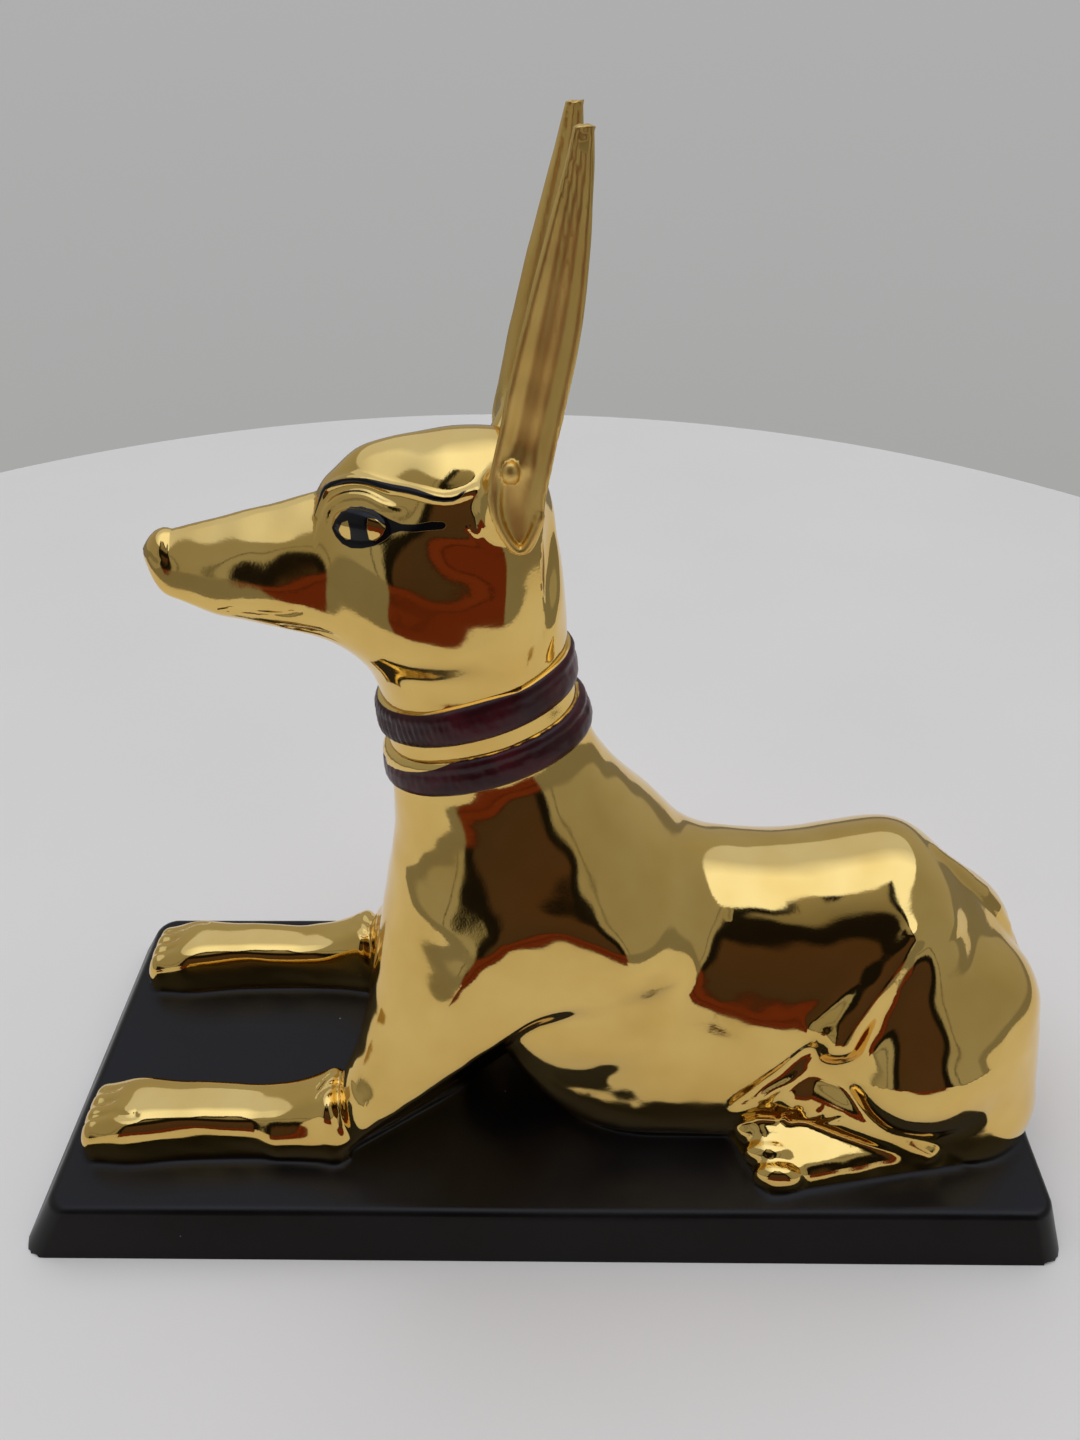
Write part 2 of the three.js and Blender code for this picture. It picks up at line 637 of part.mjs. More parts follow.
// Joins the ends of edges, those that change the form least first, down to the wanted triangles.
function thinned({ points, triangles }, wanted) {
  const spots = points.map((p) => new THREE.Vector3(...p));
  const faces = triangles.map((face) => [...face]);
  const facesOf = points.map(() => new Set());
  const quadrics = points.map(() => new Float64Array(10));
  const age = new Int32Array(points.length);
  const ab = new THREE.Vector3();
  const ac = new THREE.Vector3();
  const normalOf = (a, b, c) => ab.subVectors(b, a).cross(ac.subVectors(c, a)).clone();
  faces.forEach((face, f) => {
    const [a, b, c] = face.map((p) => spots[p]);
    const normal = normalOf(a, b, c);
    const area = normal.length() / 2;
    normal.normalize();
    face.forEach((p) => {
      facesOf[p].add(f);
      addPlane(quadrics[p], normal, -normal.dot(a), area + 0.02);
    });
  });
  const neighbours = (p) => {
    const found = new Set();
    for (const f of facesOf[p]) for (const q of faces[f]) if (q !== p) found.add(q);
    return found;
  };
  const queue = new CheapestFirst();
  const offer = (a, b) => {
    const sum = quadrics[a].map((value, i) => value + quadrics[b][i]);
    const target = bestPoint(sum, spots[a], spots[b]);
    const cost = strayOf(sum, target) + 1e-6 * spots[a].distanceToSquared(spots[b]);
    queue.push({ cost, a, b, target, ageA: age[a], ageB: age[b] });
  };
  // A join must not fold a face over or leave a sliver.
  const keepsFaces = (p, other, target) => {
    for (const f of facesOf[p]) {
      if (faces[f].includes(other)) continue;
      const [a, b, c] = faces[f].map((q) => spots[q]);
      const [u, v, w] = faces[f].map((q) => (q === p ? target : spots[q]));
      const before = normalOf(a, b, c);
      const after = normalOf(u, v, w);
      if (before.dot(after) < 0.35 * before.length() * after.length()) return false;
      const longest = Math.max(u.distanceToSquared(v), v.distanceToSquared(w), w.distanceToSquared(u));
      if (after.length() < 0.04 * longest) return false;
    }
    return true;
  };
  faces.forEach(([a, b, c]) => {
    if (a < b) offer(a, b);
    if (b < c) offer(b, c);
    if (c < a) offer(c, a);
  });
  let left = faces.length;
  while (left > wanted && queue.entries.length) {
    const { a, b, target, ageA, ageB } = queue.pop();
    if (age[a] !== ageA || age[b] !== ageB) continue;
    const aroundA = neighbours(a);
    const aroundB = neighbours(b);
    const shared = [...aroundA].filter((p) => aroundB.has(p));
    if (shared.length !== 2 || shared.some((p) => facesOf[p].size < 4)) continue;
    if (!keepsFaces(a, b, target) || !keepsFaces(b, a, target)) continue;
    for (const f of [...facesOf[b]]) {
      if (faces[f].includes(a)) {
        faces[f].forEach((p) => facesOf[p].delete(f));
        faces[f] = null;
        left -= 1;
      } else {
        faces[f] = faces[f].map((p) => (p === b ? a : p));
        facesOf[a].add(f);
      }
    }
    facesOf[b].clear();
    spots[a].copy(target);
    quadrics[b].forEach((value, i) => (quadrics[a][i] += value));
    age[a] += 1;
    age[b] += 1;
    for (const p of neighbours(a)) offer(a, p);
  }
  // Only the points still in use are kept.
  const kept = faces.filter(Boolean);
  const used = [...new Set(kept.flat())];
  const place = new Map(used.map((p, i) => [p, i]));
  return { points: used.map((p) => spots[p]), triangles: kept.map((f) => f.map((p) => place.get(p))) };
}

function meshFrom(name, { points, triangles }, material) {
  const geometry = new THREE.BufferGeometry();
  const flat = points.flatMap((p) => [p.x, p.y, p.z]);
  geometry.setAttribute("position", new THREE.Float32BufferAttribute(flat, 3));
  geometry.setIndex(triangles.flat());
  geometry.computeVertexNormals();
  const mesh = new THREE.Mesh(geometry, material);
  mesh.name = name;
  return mesh;
}

// Plinth: level outlines with round corners, one above the other
const cornerSteps = 5;
const roundSteps = 3;

function plinthOutline(front, rear, halfWidth, corner, z) {
  const ring = [];
  for (let quarter = 0; quarter < 4; quarter += 1) {
    const end = quarter === 0 || quarter === 3 ? rear - corner : front + corner;
    const sy = quarter < 2 ? 1 : -1;
    for (let i = 0; i <= cornerSteps; i += 1) {
      const angle = (Math.PI / 2) * (quarter + i / cornerSteps);
      const x = end + corner * Math.cos(angle);
      const y = sy * (halfWidth - corner) + corner * Math.sin(angle);
      ring.push(new THREE.Vector3(x, y, z));
    }
  }
  return ring;
}

function stacked(rings) {
  const around = rings[0].length;
  const points = rings.flat();
  const triangles = [];
  for (let level = 0; level < rings.length - 1; level += 1) {
    for (let i = 0; i < around; i += 1) {
      const a = level * around + i;
      const b = level * around + ((i + 1) % around);
      triangles.push([a, b, b + around], [a, b + around, a + around]);
    }
  }
  const top = (rings.length - 1) * around;
  for (let i = 1; i < around - 1; i += 1) {
    triangles.push([0, i + 1, i], [top, top + i, top + i + 1]);
  }
  return { points, triangles };
}

const topLength = figureLength + plinthFrontMargin + plinthRearMargin;
const bottomLength = topLength + plinthFrontDraft + plinthRearDraft;
const topWidth = 2 * (drawnHalfWidth * scale + plinthSideMargin);

function plinthSolid() {
  const rings = [];
  const addRing = (z, inset) => {
    const rise = z / plinthHeight;
    const front = -bottomLength / 2 + plinthFrontDraft * rise + inset;
    const rear = bottomLength / 2 - plinthRearDraft * rise - inset;
    const half = topWidth / 2 + plinthSideDraft * (1 - rise) - inset;
    rings.push(plinthOutline(front, rear, half, plinthCorner - inset, z));
  };
  addRing(0, 0);
  for (let i = 0; i <= roundSteps; i += 1) {
    const angle = (Math.PI / 2) * (i / roundSteps);
    addRing(plinthHeight - plinthRound * (1 - Math.sin(angle)), plinthRound * (1 - Math.cos(angle)));
  }
  return stacked(rings);
}

// The sampled box reaches a little past the drawn figure on every side.
function figureSolid() {
  const low = [drawnFront - sampleMargin, -drawnHalfWidth - sampleMargin, drawnSeat - sampleMargin];
  const high = [drawnRear + sampleMargin, drawnHalfWidth + sampleMargin, drawnTop + sampleMargin];
  const samples = withoutPinches(sample(figure, low, high, gridStep));
  const skin = thinned(skinOf(samples), wantedTriangles);
  const shift = plinthFrontDraft + plinthFrontMargin - bottomLength / 2 - drawnFront * scale;
  skin.points.forEach((p) => p.multiplyScalar(scale).add(new THREE.Vector3(shift, 0, plinthHeight)));
  return skin;
}

const gold = new THREE.MeshStandardMaterial({ color: 0xd9b260, metalness: 1, roughness: 0.1 });
const blackLacquer = new THREE.MeshStandardMaterial({ color: 0x1c1c1f, metalness: 0, roughness: 0.42 });

const statue = new THREE.Group();
statue.add(meshFrom("plinth", plinthSolid(), blackLacquer));
statue.add(meshFrom("jackal", figureSolid(), gold));

export default statue;
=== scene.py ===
import math
from functools import partial

import bmesh
import bpy
import numpy as np
import openvdb
from mathutils import Matrix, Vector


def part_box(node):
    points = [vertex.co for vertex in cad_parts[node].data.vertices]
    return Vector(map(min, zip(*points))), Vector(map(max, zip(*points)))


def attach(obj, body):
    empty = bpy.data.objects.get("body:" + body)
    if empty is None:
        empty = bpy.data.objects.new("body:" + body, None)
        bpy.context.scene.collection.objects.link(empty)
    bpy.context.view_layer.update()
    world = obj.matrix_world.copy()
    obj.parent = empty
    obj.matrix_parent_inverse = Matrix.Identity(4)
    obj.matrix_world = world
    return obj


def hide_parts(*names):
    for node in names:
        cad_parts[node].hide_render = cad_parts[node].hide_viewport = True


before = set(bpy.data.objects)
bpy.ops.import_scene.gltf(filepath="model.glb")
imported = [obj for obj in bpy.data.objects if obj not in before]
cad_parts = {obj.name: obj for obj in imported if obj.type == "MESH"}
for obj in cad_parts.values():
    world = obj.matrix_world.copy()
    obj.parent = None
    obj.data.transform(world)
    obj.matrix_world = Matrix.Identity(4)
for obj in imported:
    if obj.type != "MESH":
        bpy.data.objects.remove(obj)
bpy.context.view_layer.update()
mm = 0.001
degrees = 180 / math.pi
print("frame loaded:", sorted(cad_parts))


# Shared sculpting tools. Lengths are millimetres. The figure is drawn with z = 0 at the plinth's top,
# its nose towards -x, and its two sides alike about y = 0. A form is the distance to its surface.

def naturalCurve(places, values):
    last = len(places) - 1
    width = np.diff(places)
    slope = np.diff(values) / width
    system = np.eye(last + 1)
    right = np.zeros(last + 1)
    for i in range(1, last):
        system[i, i - 1:i + 2] = width[i - 1], 2 * (width[i - 1] + width[i]), width[i]
        right[i] = 6 * (slope[i] - slope[i - 1])
    bend = np.linalg.solve(system, right)

    def at(place):
        place = np.clip(place, places[0], places[-1])
        i = np.clip(np.searchsorted(places, place) - 1, 0, last - 1)
        a = (places[i + 1] - place) / width[i]
        b = 1 - a
        cubic = (a ** 3 - a) * bend[i] + (b ** 3 - b) * bend[i + 1]
        return a * values[i] + b * values[i + 1] + cubic * width[i] ** 2 / 6

    return at


def tableCurves(rows):
    table = np.array(rows, float)
    return [naturalCurve(table[:, 0], column) for column in table[:, 1:].T]


def smoothPath(points, parts=4):
    path = np.array(points, float)
    steps = np.arange(len(path), dtype=float)
    fine = np.linspace(0, len(path) - 1, (len(path) - 1) * parts + 1)
    return np.stack([naturalCurve(steps, column)(fine) for column in path.T], 1)


def size(*parts):
    return np.sqrt(sum(part * part for part in parts))


def soften(a, b, width):
    near = np.maximum(width - np.abs(a - b), 0) / width
    return np.minimum(a, b) - near ** 3 * width / 6


def grown(form, *parts):
    # Each part runs into what is there, over its own width
    for part, width in parts:
        form = soften(form, part, width)
    return form


def ease(share):
    share = np.clip(share, 0, 1)
    return share * share * (3 - 2 * share)


def oval(u, v, ru, rv, power):
    au = np.abs(u) / ru + 1e-9
    av = np.abs(v) / rv + 1e-9
    pu, pv = au ** power, av ** power
    form = (pu + pv) ** (1 / power)
    steep = form / (pu + pv) * size(pu / au / ru, pv / av / rv)
    return (form - 1) / np.maximum(steep, 0.7 / np.maximum(ru, rv))


def crossSection(u, v, half, low, widest, high, power):
    return oval(u, v - widest, half, np.where(v > widest, high - widest, widest - low), power)


def capped(distance, along, rows):
    past = np.maximum(rows[0][0] - along, along - rows[-1][0])
    return np.where(past > 0, size(np.maximum(distance, 0), past), distance)


def limb(p, bar):
    start, end = np.array(bar[0], float), np.array(bar[1], float)
    way = end - start
    share = np.clip((p - start) @ way / (way @ way), 0, 1)
    return size(*(p - start - share[:, None] * way).T) - (bar[2] + (bar[3] - bar[2]) * share)


def egg(p, form):
    centre, radii, turn, tip = (list(form) + [0, 0])[:4]
    ct, st = math.cos(math.radians(turn)), math.sin(math.radians(turn))
    cp, sp = math.cos(math.radians(tip)), math.sin(math.radians(tip))
    x, y, z = (p - np.array(centre, float)).T
    u, v = x * ct + y * st, y * ct - x * st
    along, up = u * cp - z * sp, u * sp + z * cp
    near = size(along / radii[0], v / radii[1], up / radii[2]) + 1e-9
    steep = size(along / radii[0] ** 2, v / radii[1] ** 2, up / radii[2] ** 2) + 1e-9
    return near * (near - 1) / steep


def faceted(p, planes, edge):
    # The space behind all of the planes, with its edges rounded off
    form = np.full(len(p), -1e3)
    for point, way in planes:
        way = np.array(way) / size(*way)
        form = -soften(-form, -((p - point) @ way), edge)
    return form


def toPath(p, path):
    # Distance to a path and how far along it the nearest place is, from 0 to 1
    nearest = np.full(len(p), 1e9)
    place = np.zeros(len(p))
    for i in range(len(path) - 1):
        way = path[i + 1] - path[i]
        share = np.clip((p - path[i]) @ way / (way @ way), 0, 1)
        gap = size(*(p - path[i] - share[:, None] * way).T)
        closer = gap < nearest
        nearest = np.where(closer, gap, nearest)
        place = np.where(closer, (i + share) / (len(path) - 1), place)
    return nearest, place


def toOutline(u, v, outline):
    # Signed distance to a closed flat outline, negative inside
    nearest = np.full(len(u), 1e9)
    inside = np.zeros(len(u), bool)
    corners = np.array(outline, float)
    for a, b in zip(corners, np.roll(corners, -1, 0)):
        way = b - a
        share = np.clip(((u - a[0]) * way[0] + (v - a[1]) * way[1]) / (way @ way), 0, 1)
        nearest = np.minimum(nearest, size(u - a[0] - share * way[0], v - a[1] - share * way[1]))
        if a[1] != b[1]:
            crosses = (a[1] > v) != (b[1] > v)
            inside ^= crosses & (u < a[0] + (v - a[1]) / (b[1] - a[1]) * way[0])
    return np.where(inside, -nearest, nearest)


def slopes(form, p, probe):
    steps = np.eye(3) * probe
    return np.stack([(form(p + step) - form(p - step)) / (2 * probe) for step in steps], 1)


def settle(form, p, rounds=6, probe=0.05):
    # Each point moves down the slope until it lies on the form
    for _ in range(rounds):
        slope = slopes(form, p, probe)
        p = p - (form(p) / np.maximum((slope * slope).sum(1), 0.2))[:, None] * slope
    slope = slopes(form, p, probe)
    return p, slope / np.maximum(size(*slope.T), 1e-6)[:, None]


# Trunk and neck

trunkForm = {
    "rows": [  # along x: top, half width, height of the widest place, underside
        [-18, 38, 8, 33, 28], [-10, 44, 14, 28, 19], [-3, 48.2, 19.2, 20, 7], [4, 50.6, 20.8, 15, -3],
        [12, 50.3, 21, 11, -8], [22, 47.8, 21, 10, -9], [32, 46, 21, 10, -9], [42, 46.4, 20.8, 12, -8],
        [50, 48.2, 19.6, 16, -8], [57, 47.4, 17.8, 18, -8], [63, 41.8, 15.8, 17, -8],
        [69, 35.4, 12.8, 14, -8], [75, 27, 8, 10, -8],
    ],
    "power": 1.98,
}
neckForm = {
    "rows": [  # up z: front, back, half width
        [-4, -28, -12, 12], [12, -27.5, -8, 17], [24, -26, 3, 23], [36, -24.3, 16, 23],
        [44, -22.8, 20, 19.8], [52, -21.6, 18.6, 16.2], [58, -21.2, 13.8, 13.4], [66, -21, 8.5, 10.8],
        [73, -21.2, 6.2, 10.4], [80, -21.7, 4.6, 10.3], [88, -21.2, 4.2, 10.2], [98, -18.5, 2.3, 9.6],
        [106, -14, -1.8, 8.4],
    ],
    "power": 2.05, "fillet": 8,
}
trunkTop, trunkHalf, trunkWidest, trunkBottom = tableCurves(trunkForm["rows"])
neckFront, neckBack, neckHalf = tableCurves(neckForm["rows"])


def trunk(p):
    x, y, z = p.T
    form = crossSection(y, z, trunkHalf(x), trunkBottom(x), trunkWidest(x), trunkTop(x), trunkForm["power"])
    return capped(form, x, trunkForm["rows"])


def neck(p):
    x, y, z = p.T
    front, back = neckFront(z), neckBack(z)
    form = oval(x - (front + back) / 2, y, (back - front) / 2, neckHalf(z), neckForm["power"])
    return capped(form, z, neckForm["rows"])


# Head with its brows and eyes

headForm = {
    "rows": [  # along x: top, underside, height of the widest place, half width, power of the section
        [-49.9, 97.3, 95.8, 96.5, 0.9, 2], [-48.8, 98.7, 92.9, 94.4, 2.5, 2.1],
        [-46, 99.8, 90.4, 92.2, 3.8, 2], [-42, 100.8, 88.4, 91.4, 4.9, 1.9],
        [-38, 101.8, 87.4, 91, 5.7, 1.9], [-34, 102.7, 86.3, 91, 6.3, 1.9],
        [-30, 103.7, 85.2, 90.6, 6.8, 1.9], [-27, 105, 84.1, 90, 7.1, 1.9],
        [-24, 107.3, 82.6, 88.6, 7.7, 1.9], [-21, 109.7, 80.8, 87.6, 9.2, 1.8],
        [-18, 110.9, 79.2, 87.2, 10.6, 1.7], [-14, 111.6, 78, 87, 11.3, 1.65],
        [-9, 111.8, 77, 87, 11.3, 1.65], [-4, 111.9, 77, 87.4, 10.4, 1.8],
        [-1, 110.5, 79, 87, 9, 2], [1.5, 106.5, 84, 92, 6, 2],
    ],
    "fillet": 7, "cranium": [[-8, 0, 101.4], [10.3, 8.6, 10.2]], "craniumFillet": 4,
    # The facets of the muzzle's top: how far out at which x and z, and how they widen, slope and end
    "muzzleSide": [5.1, -34, 97.6], "muzzleWiden": 0.25, "muzzleSlope": 1,
    "muzzleEnds": [-46, -26.5], "muzzleStop": 1.5, "muzzleEdge": 0.9, "muzzleRidge": 0.9, "ridgeDrop": 0.72,
    "brow": [
        [-25.8, 3.2, 102.6], [-25.2, 2.5, 104.3], [-24.5, 2.2, 105.6], [-23, 2.7, 106.6], [-21.5, 3.3, 107.2],
        [-19.8, 3.9, 107.4], [-18.2, 4.4, 107.2], [-16, 5.3, 106.9], [-13.8, 6.2, 106.8], [-11.7, 7, 106.6],
        [-9.6, 7.5, 106.4], [-7.8, 7.5, 106.7], [-6, 7.1, 107.2]],
    "browRadius": 0.55, "browFillet": 0.9,
    "eye": [[-20.3, 6.1, 102.4], [3.6, 1.2, 2.2], 20], "eyeFillet": 0.8,
}
headTop, headBottom, headWidest, headHalf, headPower = tableCurves(headForm["rows"])
browCrest = smoothPath(headForm["brow"], 2)


def muzzleTop(p):
    # A flat facet down each side of the muzzle's top, which ends before the brow
    x, y, z = p.T
    out, along, level = headForm["muzzleSide"]
    widen, slope = headForm["muzzleWiden"], headForm["muzzleSlope"]
    start, end = headForm["muzzleEnds"]
    past = np.maximum(start - x, 0) + headForm["muzzleStop"] * np.maximum(x - end, 0)
    y = size(y, headForm["muzzleRidge"]) - headForm["ridgeDrop"]
    return (y - out - widen * (x - along) + slope * (z - level) - past) / size(1, widen, slope)


def head(p):
    x, y, z = p.T
    form = crossSection(y, z, headHalf(x), headBottom(x), headWidest(x), headTop(x), headPower(x))
    form = -soften(-form, -muzzleTop(p), headForm["muzzleEdge"])
    return soften(capped(form, x, headForm["rows"]), egg(p, headForm["cranium"]), headForm["craniumFillet"])


# Ears: tall curved blades, hollow in front, with ribs along them and a rolled cup at the foot

earForm = {
    "rows": [  # up z: front, rear, distance from the middle, depth of the hollow
        [101.5, -1.9, 0.6, 11.4, 0.5], [104, -3, 1.7, 11.5, 1.3], [108, -4.1, 2.5, 11.3, 1.7],
        [113, -3.3, 3.6, 11, 1.7], [120, -1.6, 5.3, 10.7, 1.5], [128, 0.6, 6.9, 10.5, 1.2],
        [136, 3, 7.7, 10.3, 0.8], [142, 4.9, 8, 10, 0.5], [145.8, 6, 8, 9.8, 0.3],
    ],
    "thickness": 1.15, "power": 2.6, "fillet": 2.2, "farEarForward": 0.9,
    "root": [[-2.8, 5.5, 104.5], [-0.4, 9.9, 112], 4, 1.7], "rootFillet": 2,
    "ribDepth": 0.16, "ribWaves": 2.6, "ribFoot": 106, "ribFade": 8,
    "knob": [[-1.4, 12.1, 111.4], [1, 0.8, 1.3]], "knobFillet": 0.6,
    "rim": [[-3, 11.6, 110.4], [-3.2, 12.3, 107.4], [-2.6, 12.6, 104.6], [-0.9, 12.6, 102],
            [0.6, 12.4, 103.2], [1.8, 12.2, 106]],
    "rimRadius": 0.55, "rimFillet": 0.7,
}
earFront, earRear, earOut, earHollow = tableCurves(earForm["rows"])
earRim = smoothPath(earForm["rim"])


def ear(p, forward):
    x, y, z = p.T
    half = (earRear(z) - earFront(z)) / 2
    across = x + forward - (earRear(z) + earFront(z)) / 2
    share = np.clip(across / half, -1.3, 1.3)
    middle = earOut(z) + earHollow(z) * (share * share - 0.5)
    ribs = np.cos(share * math.pi * earForm["ribWaves"]) * ease((z - earForm["ribFoot"]) / earForm["ribFade"])
    blade = oval(across, y - middle, half, earForm["thickness"], earForm["power"])
    blade = capped(blade - ribs * earForm["ribDepth"], z, earForm["rows"])
    moved = p + np.stack([forward, 0 * forward, 0 * forward], 1)
    return grown(
        blade, (limb(moved, earForm["root"]), earForm["rootFillet"]),
        (toPath(moved, earRim)[0] - earForm["rimRadius"], earForm["rimFillet"]),
        (egg(moved, earForm["knob"]), earForm["knobFillet"]))


# Legs, haunches and tail

foreLeg = {
    "rows": [  # along x: top, half width
        [-74.6, 3, 3.4], [-73.8, 5.6, 4.7], [-71.5, 7.8, 5.7], [-67, 9.3, 6], [-61, 9.6, 5.4],
        [-53, 9.6, 4.9], [-45, 9.2, 4.8], [-39, 10.4, 5], [-35, 12.4, 5.5], [-32.6, 12.2, 5.6],
        [-31.2, 9.5, 4.6],
    ],
    "out": 18, "underside": -5, "widest": 2.5, "power": 3.2, "fillet": 2,
    "core": [[-42, 18.6, 3.8], [-28, 17.8, 4.6], 5.2, 6.2], "coreFillet": 3,
    "armRear": [[2, 9.5, 35.5], [-23.6, 17.3, 10], 13.5, 8.6],
    "armFront": [[-12, 6.5, 42], [-24, 16.6, 8], 9, 7.6],
    "shoulder": [[9.5, 9.2, 36.5], [7, 10.4, 26.5], 11.8, 10.8],
    "armMasses": 4, "armFillet": 9, "armPair": 4, "corePair": 1, "shoulderPair": 4,
    "face": [24.6, 10, 0.03, 0.0028], "faceEdge": 1.6,
    "under": [[-11.9, 24, 23.6], [0.5, 0.7, -0.5]], "underEdge": 1.2,
    "crease": [1.6, 9, 27, 9],  # its width low down and high up, where it starts to widen, over what height
}
hindLeg = {
    "thigh": [[57.5, 12.3, 16], [54.5, 5.2, 34.5], 13.8, 9.4],
    "rump": [[66, 10.5, 4.5], [64.6, 7, 20], 13.2, 13.2], "rumpFillet": 6,
    "pelvis": [[50, 7, 31], [57.5, 10, 33.5], 8.6, 5], "pelvisFillet": 4,
    "hipBone": [[58.8, 8.9, 38.4], [2.4, 2.4, 2.4]],
    "thighCrest": [[54, 12.6, 39.5], [44, 17.2, 25], 1.2, 4.6], "hipFillet": 3,
    "haunchFillet": 2.6, "haunchPair": 3,
    "footPlanes": [  # a point of each flat side of the foot, and the way the side faces
        [[35.2, 24.5, 5.4], [0.1, 0.66, 1]], [[34.7, 28.9, 0], [0.17, 0.95, 0.3]],
        [[28.3, 15.8, 0], [-0.9, 0.44, 0.25]], [[44, 17, 12.5], [0.5, -0.2, 0.8]],
        [[66, 20, 0], [1, 0.2, 0.3]],
    ],
    "footEdge": 1.4, "footFillet": 1.4,
    "shin": [[40.2, 17.2, 13], [59.5, 21.4, 2.8], 5.6, 3], "shinFillet": 1.6,
    "firstToe": [32.6, 17.8, 5.9], "lastToe": [36, 26.9, 2.1], "toes": 4,
    "toeRadii": [3.8, 1.8, 2.7], "toeTurn": 6, "toeFillet": 1.5,
}
tailForm = {
    "line": [[59, 0, 43.5], [65, 0, 38.4], [70, 0, 33], [74, 0, 23.5], [75.9, 0, 10], [75.9, 0, 0]],
    "radius": 2.2, "fillet": 1.2,
}
foreLegTop, foreLegHalf = tableCurves(foreLeg["rows"])
tailPath = smoothPath(tailForm["line"], 2)


def forearm(p):
    x, y, z = p.T
    form = crossSection(y - foreLeg["out"], z, foreLegHalf(x), foreLeg["underside"], foreLeg["widest"],
                        foreLegTop(x), foreLeg["power"])
    return capped(form, x, foreLeg["rows"])


def upperArm(p):
    return soften(limb(p, foreLeg["armRear"]), limb(p, foreLeg["armFront"]), foreLeg["armMasses"])


def chest(p):
    # Neck and upper arms, cut off below and behind by a flat underside on each arm
    form = grown(
        neck(p), (pairOf(upperArm, p, foreLeg["armPair"]), foreLeg["armFillet"]),
        (twins(foreLeg["core"], p, foreLeg["corePair"]), foreLeg["coreFillet"]))
    edge = foreLeg["underEdge"]
    return -soften(-form, -faceted(p, [foreLeg["under"]], edge), edge)


def armFace(p):
    # The outer side of the arm and shoulder is one broad plane that leans in a little as it rises
    out, foot, lean, curl = foreLeg["face"]
    rise = p[:, 2] - foot
    return p[:, 1] - out + lean * rise + curl * np.maximum(rise, 0) ** 2


def haunch(p):
    return grown(
        limb(p, hindLeg["thigh"]), (limb(p, hindLeg["rump"]), hindLeg["rumpFillet"]),
        (limb(p, hindLeg["pelvis"]), hindLeg["pelvisFillet"]),
        (egg(p, hindLeg["hipBone"]), hindLeg["hipFillet"]),
        (limb(p, hindLeg["thighCrest"]), hindLeg["hipFillet"]))


def hindFoot(p):
    foot = faceted(p, hindLeg["footPlanes"], hindLeg["footEdge"])
    for centre in np.linspace(hindLeg["firstToe"], hindLeg["lastToe"], hindLeg["toes"]):
        toe = egg(p, [centre, hindLeg["toeRadii"], hindLeg["toeTurn"]])
        foot = soften(foot, toe, hindLeg["toeFillet"])
    return soften(foot, limb(p, hindLeg["shin"]), hindLeg["shinFillet"])


# Carved lines: width, depth and path. A line with a negative depth stands up as a ridge.

carving = {
    "browTrough": [0.6, 0.3, [
        [-25.2, 3.5, 103.5], [-24.2, 3, 105], [-22.7, 3.3, 106], [-20.9, 4, 106.6], [-19, 4.7, 106.5],
        [-17.1, 5.5, 105.9], [-14.9, 6.4, 105.5]]],
    "lidFold": [0.55, -0.28, [
        [-25, 4.6, 101.2], [-24.7, 4.1, 102.7], [-24, 3.8, 104], [-22.7, 4, 105], [-21.3, 4.4, 105.6],
        [-19.3, 5, 105.8], [-17.7, 5.7, 105.3], [-16.1, 6.4, 104.9], [-13.9, 7.2, 104.7]]],
    "mouth": [0.35, 0.35, [
        [-41, 4.6, 90.6], [-39.3, 4.9, 90.7], [-37.6, 5.2, 90.9], [-33.6, 5.8, 90.6], [-30.5, 6.5, 90.8],
        [-28.3, 7, 91.4]]],
    "jaw": [0.5, 0.3, [[-33, 5.5, 88.2], [-29, 6.5, 87.9], [-24, 8.1, 86.9]]],
    "nostril": [0.5, 0.14, [[-48.5, 1.7, 97.2], [-48, 2.5, 96.4], [-47.2, 3, 96]]],
    "templeCurl": [0.4, -0.16, [
        [-7.2, 9.9, 102.8], [-6.6, 9.7, 103.4], [-5.8, 9.7, 102.7], [-5.3, 9.4, 103.9], [-5.4, 9.1, 105],
        [-6.2, 8.8, 106.1]]],
    "pawFold": [0.6, 0.35, [[-69, 19.8, 8.5], [-65.7, 21.4, 8.9], [-63.7, 20.9, 9.2]]],
    "cuffFirst": [0.5, 0.25, [[-35.4, 20.6, 11.4], [-33.9, 18.6, 12.8], [-31.3, 17, 14.4]]],
    "cuffSecond": [0.5, 0.25, [[-36.4, 19.2, 11.7], [-34.3, 16.5, 12.6], [-32.6, 14.6, 12.4]]],
    "thighFold": [1.1, 0.7, [
        [28.6, 21, 10], [30.5, 21, 12.6], [33, 20.8, 15.4], [36, 20.5, 18.6], [39, 20.2, 21.8],
        [41.8, 20, 25.2], [43.6, 19.2, 29]]],
    "foldRidge": [0.7, -0.35, [[33, 21, 12], [35, 21, 14.8], [37.5, 20.8, 17], [40.5, 20.5, 20]]],
    "ankleFront": [0.6, 0.35, [[36.5, 22, 7.5], [38.3, 22.3, 10.8], [39.3, 21.6, 14]]],
    "ankleMiddle": [0.7, -0.35, [[38, 22, 7.6], [40.3, 22.6, 10.6], [42.8, 22.6, 13.4]]],
    "ankleRear": [0.6, 0.35, [[40.2, 22.3, 7.4], [43, 22.8, 9.8], [46.2, 22.8, 11.6]]],
}
pawToes = {
    "profile": [[-74.4, 1.6], [-73.5, 4.86], [-71.4, 7.29], [-67.5, 8.7]],  # x and z of each cleft
    "spread": 2.4, "count": 3, "width": 0.5, "sink": 0.45,
}
lineFade = 0.2  # the share of a line's length over which each end fades
carveReach = 3  # how far from the skin the lines are worked out


def toePaths():
    for i in range(pawToes["count"]):
        out = foreLeg["out"] + (i - (pawToes["count"] - 1) / 2) * pawToes["spread"]
        yield [[x, out, z] for x, z in pawToes["profile"]]


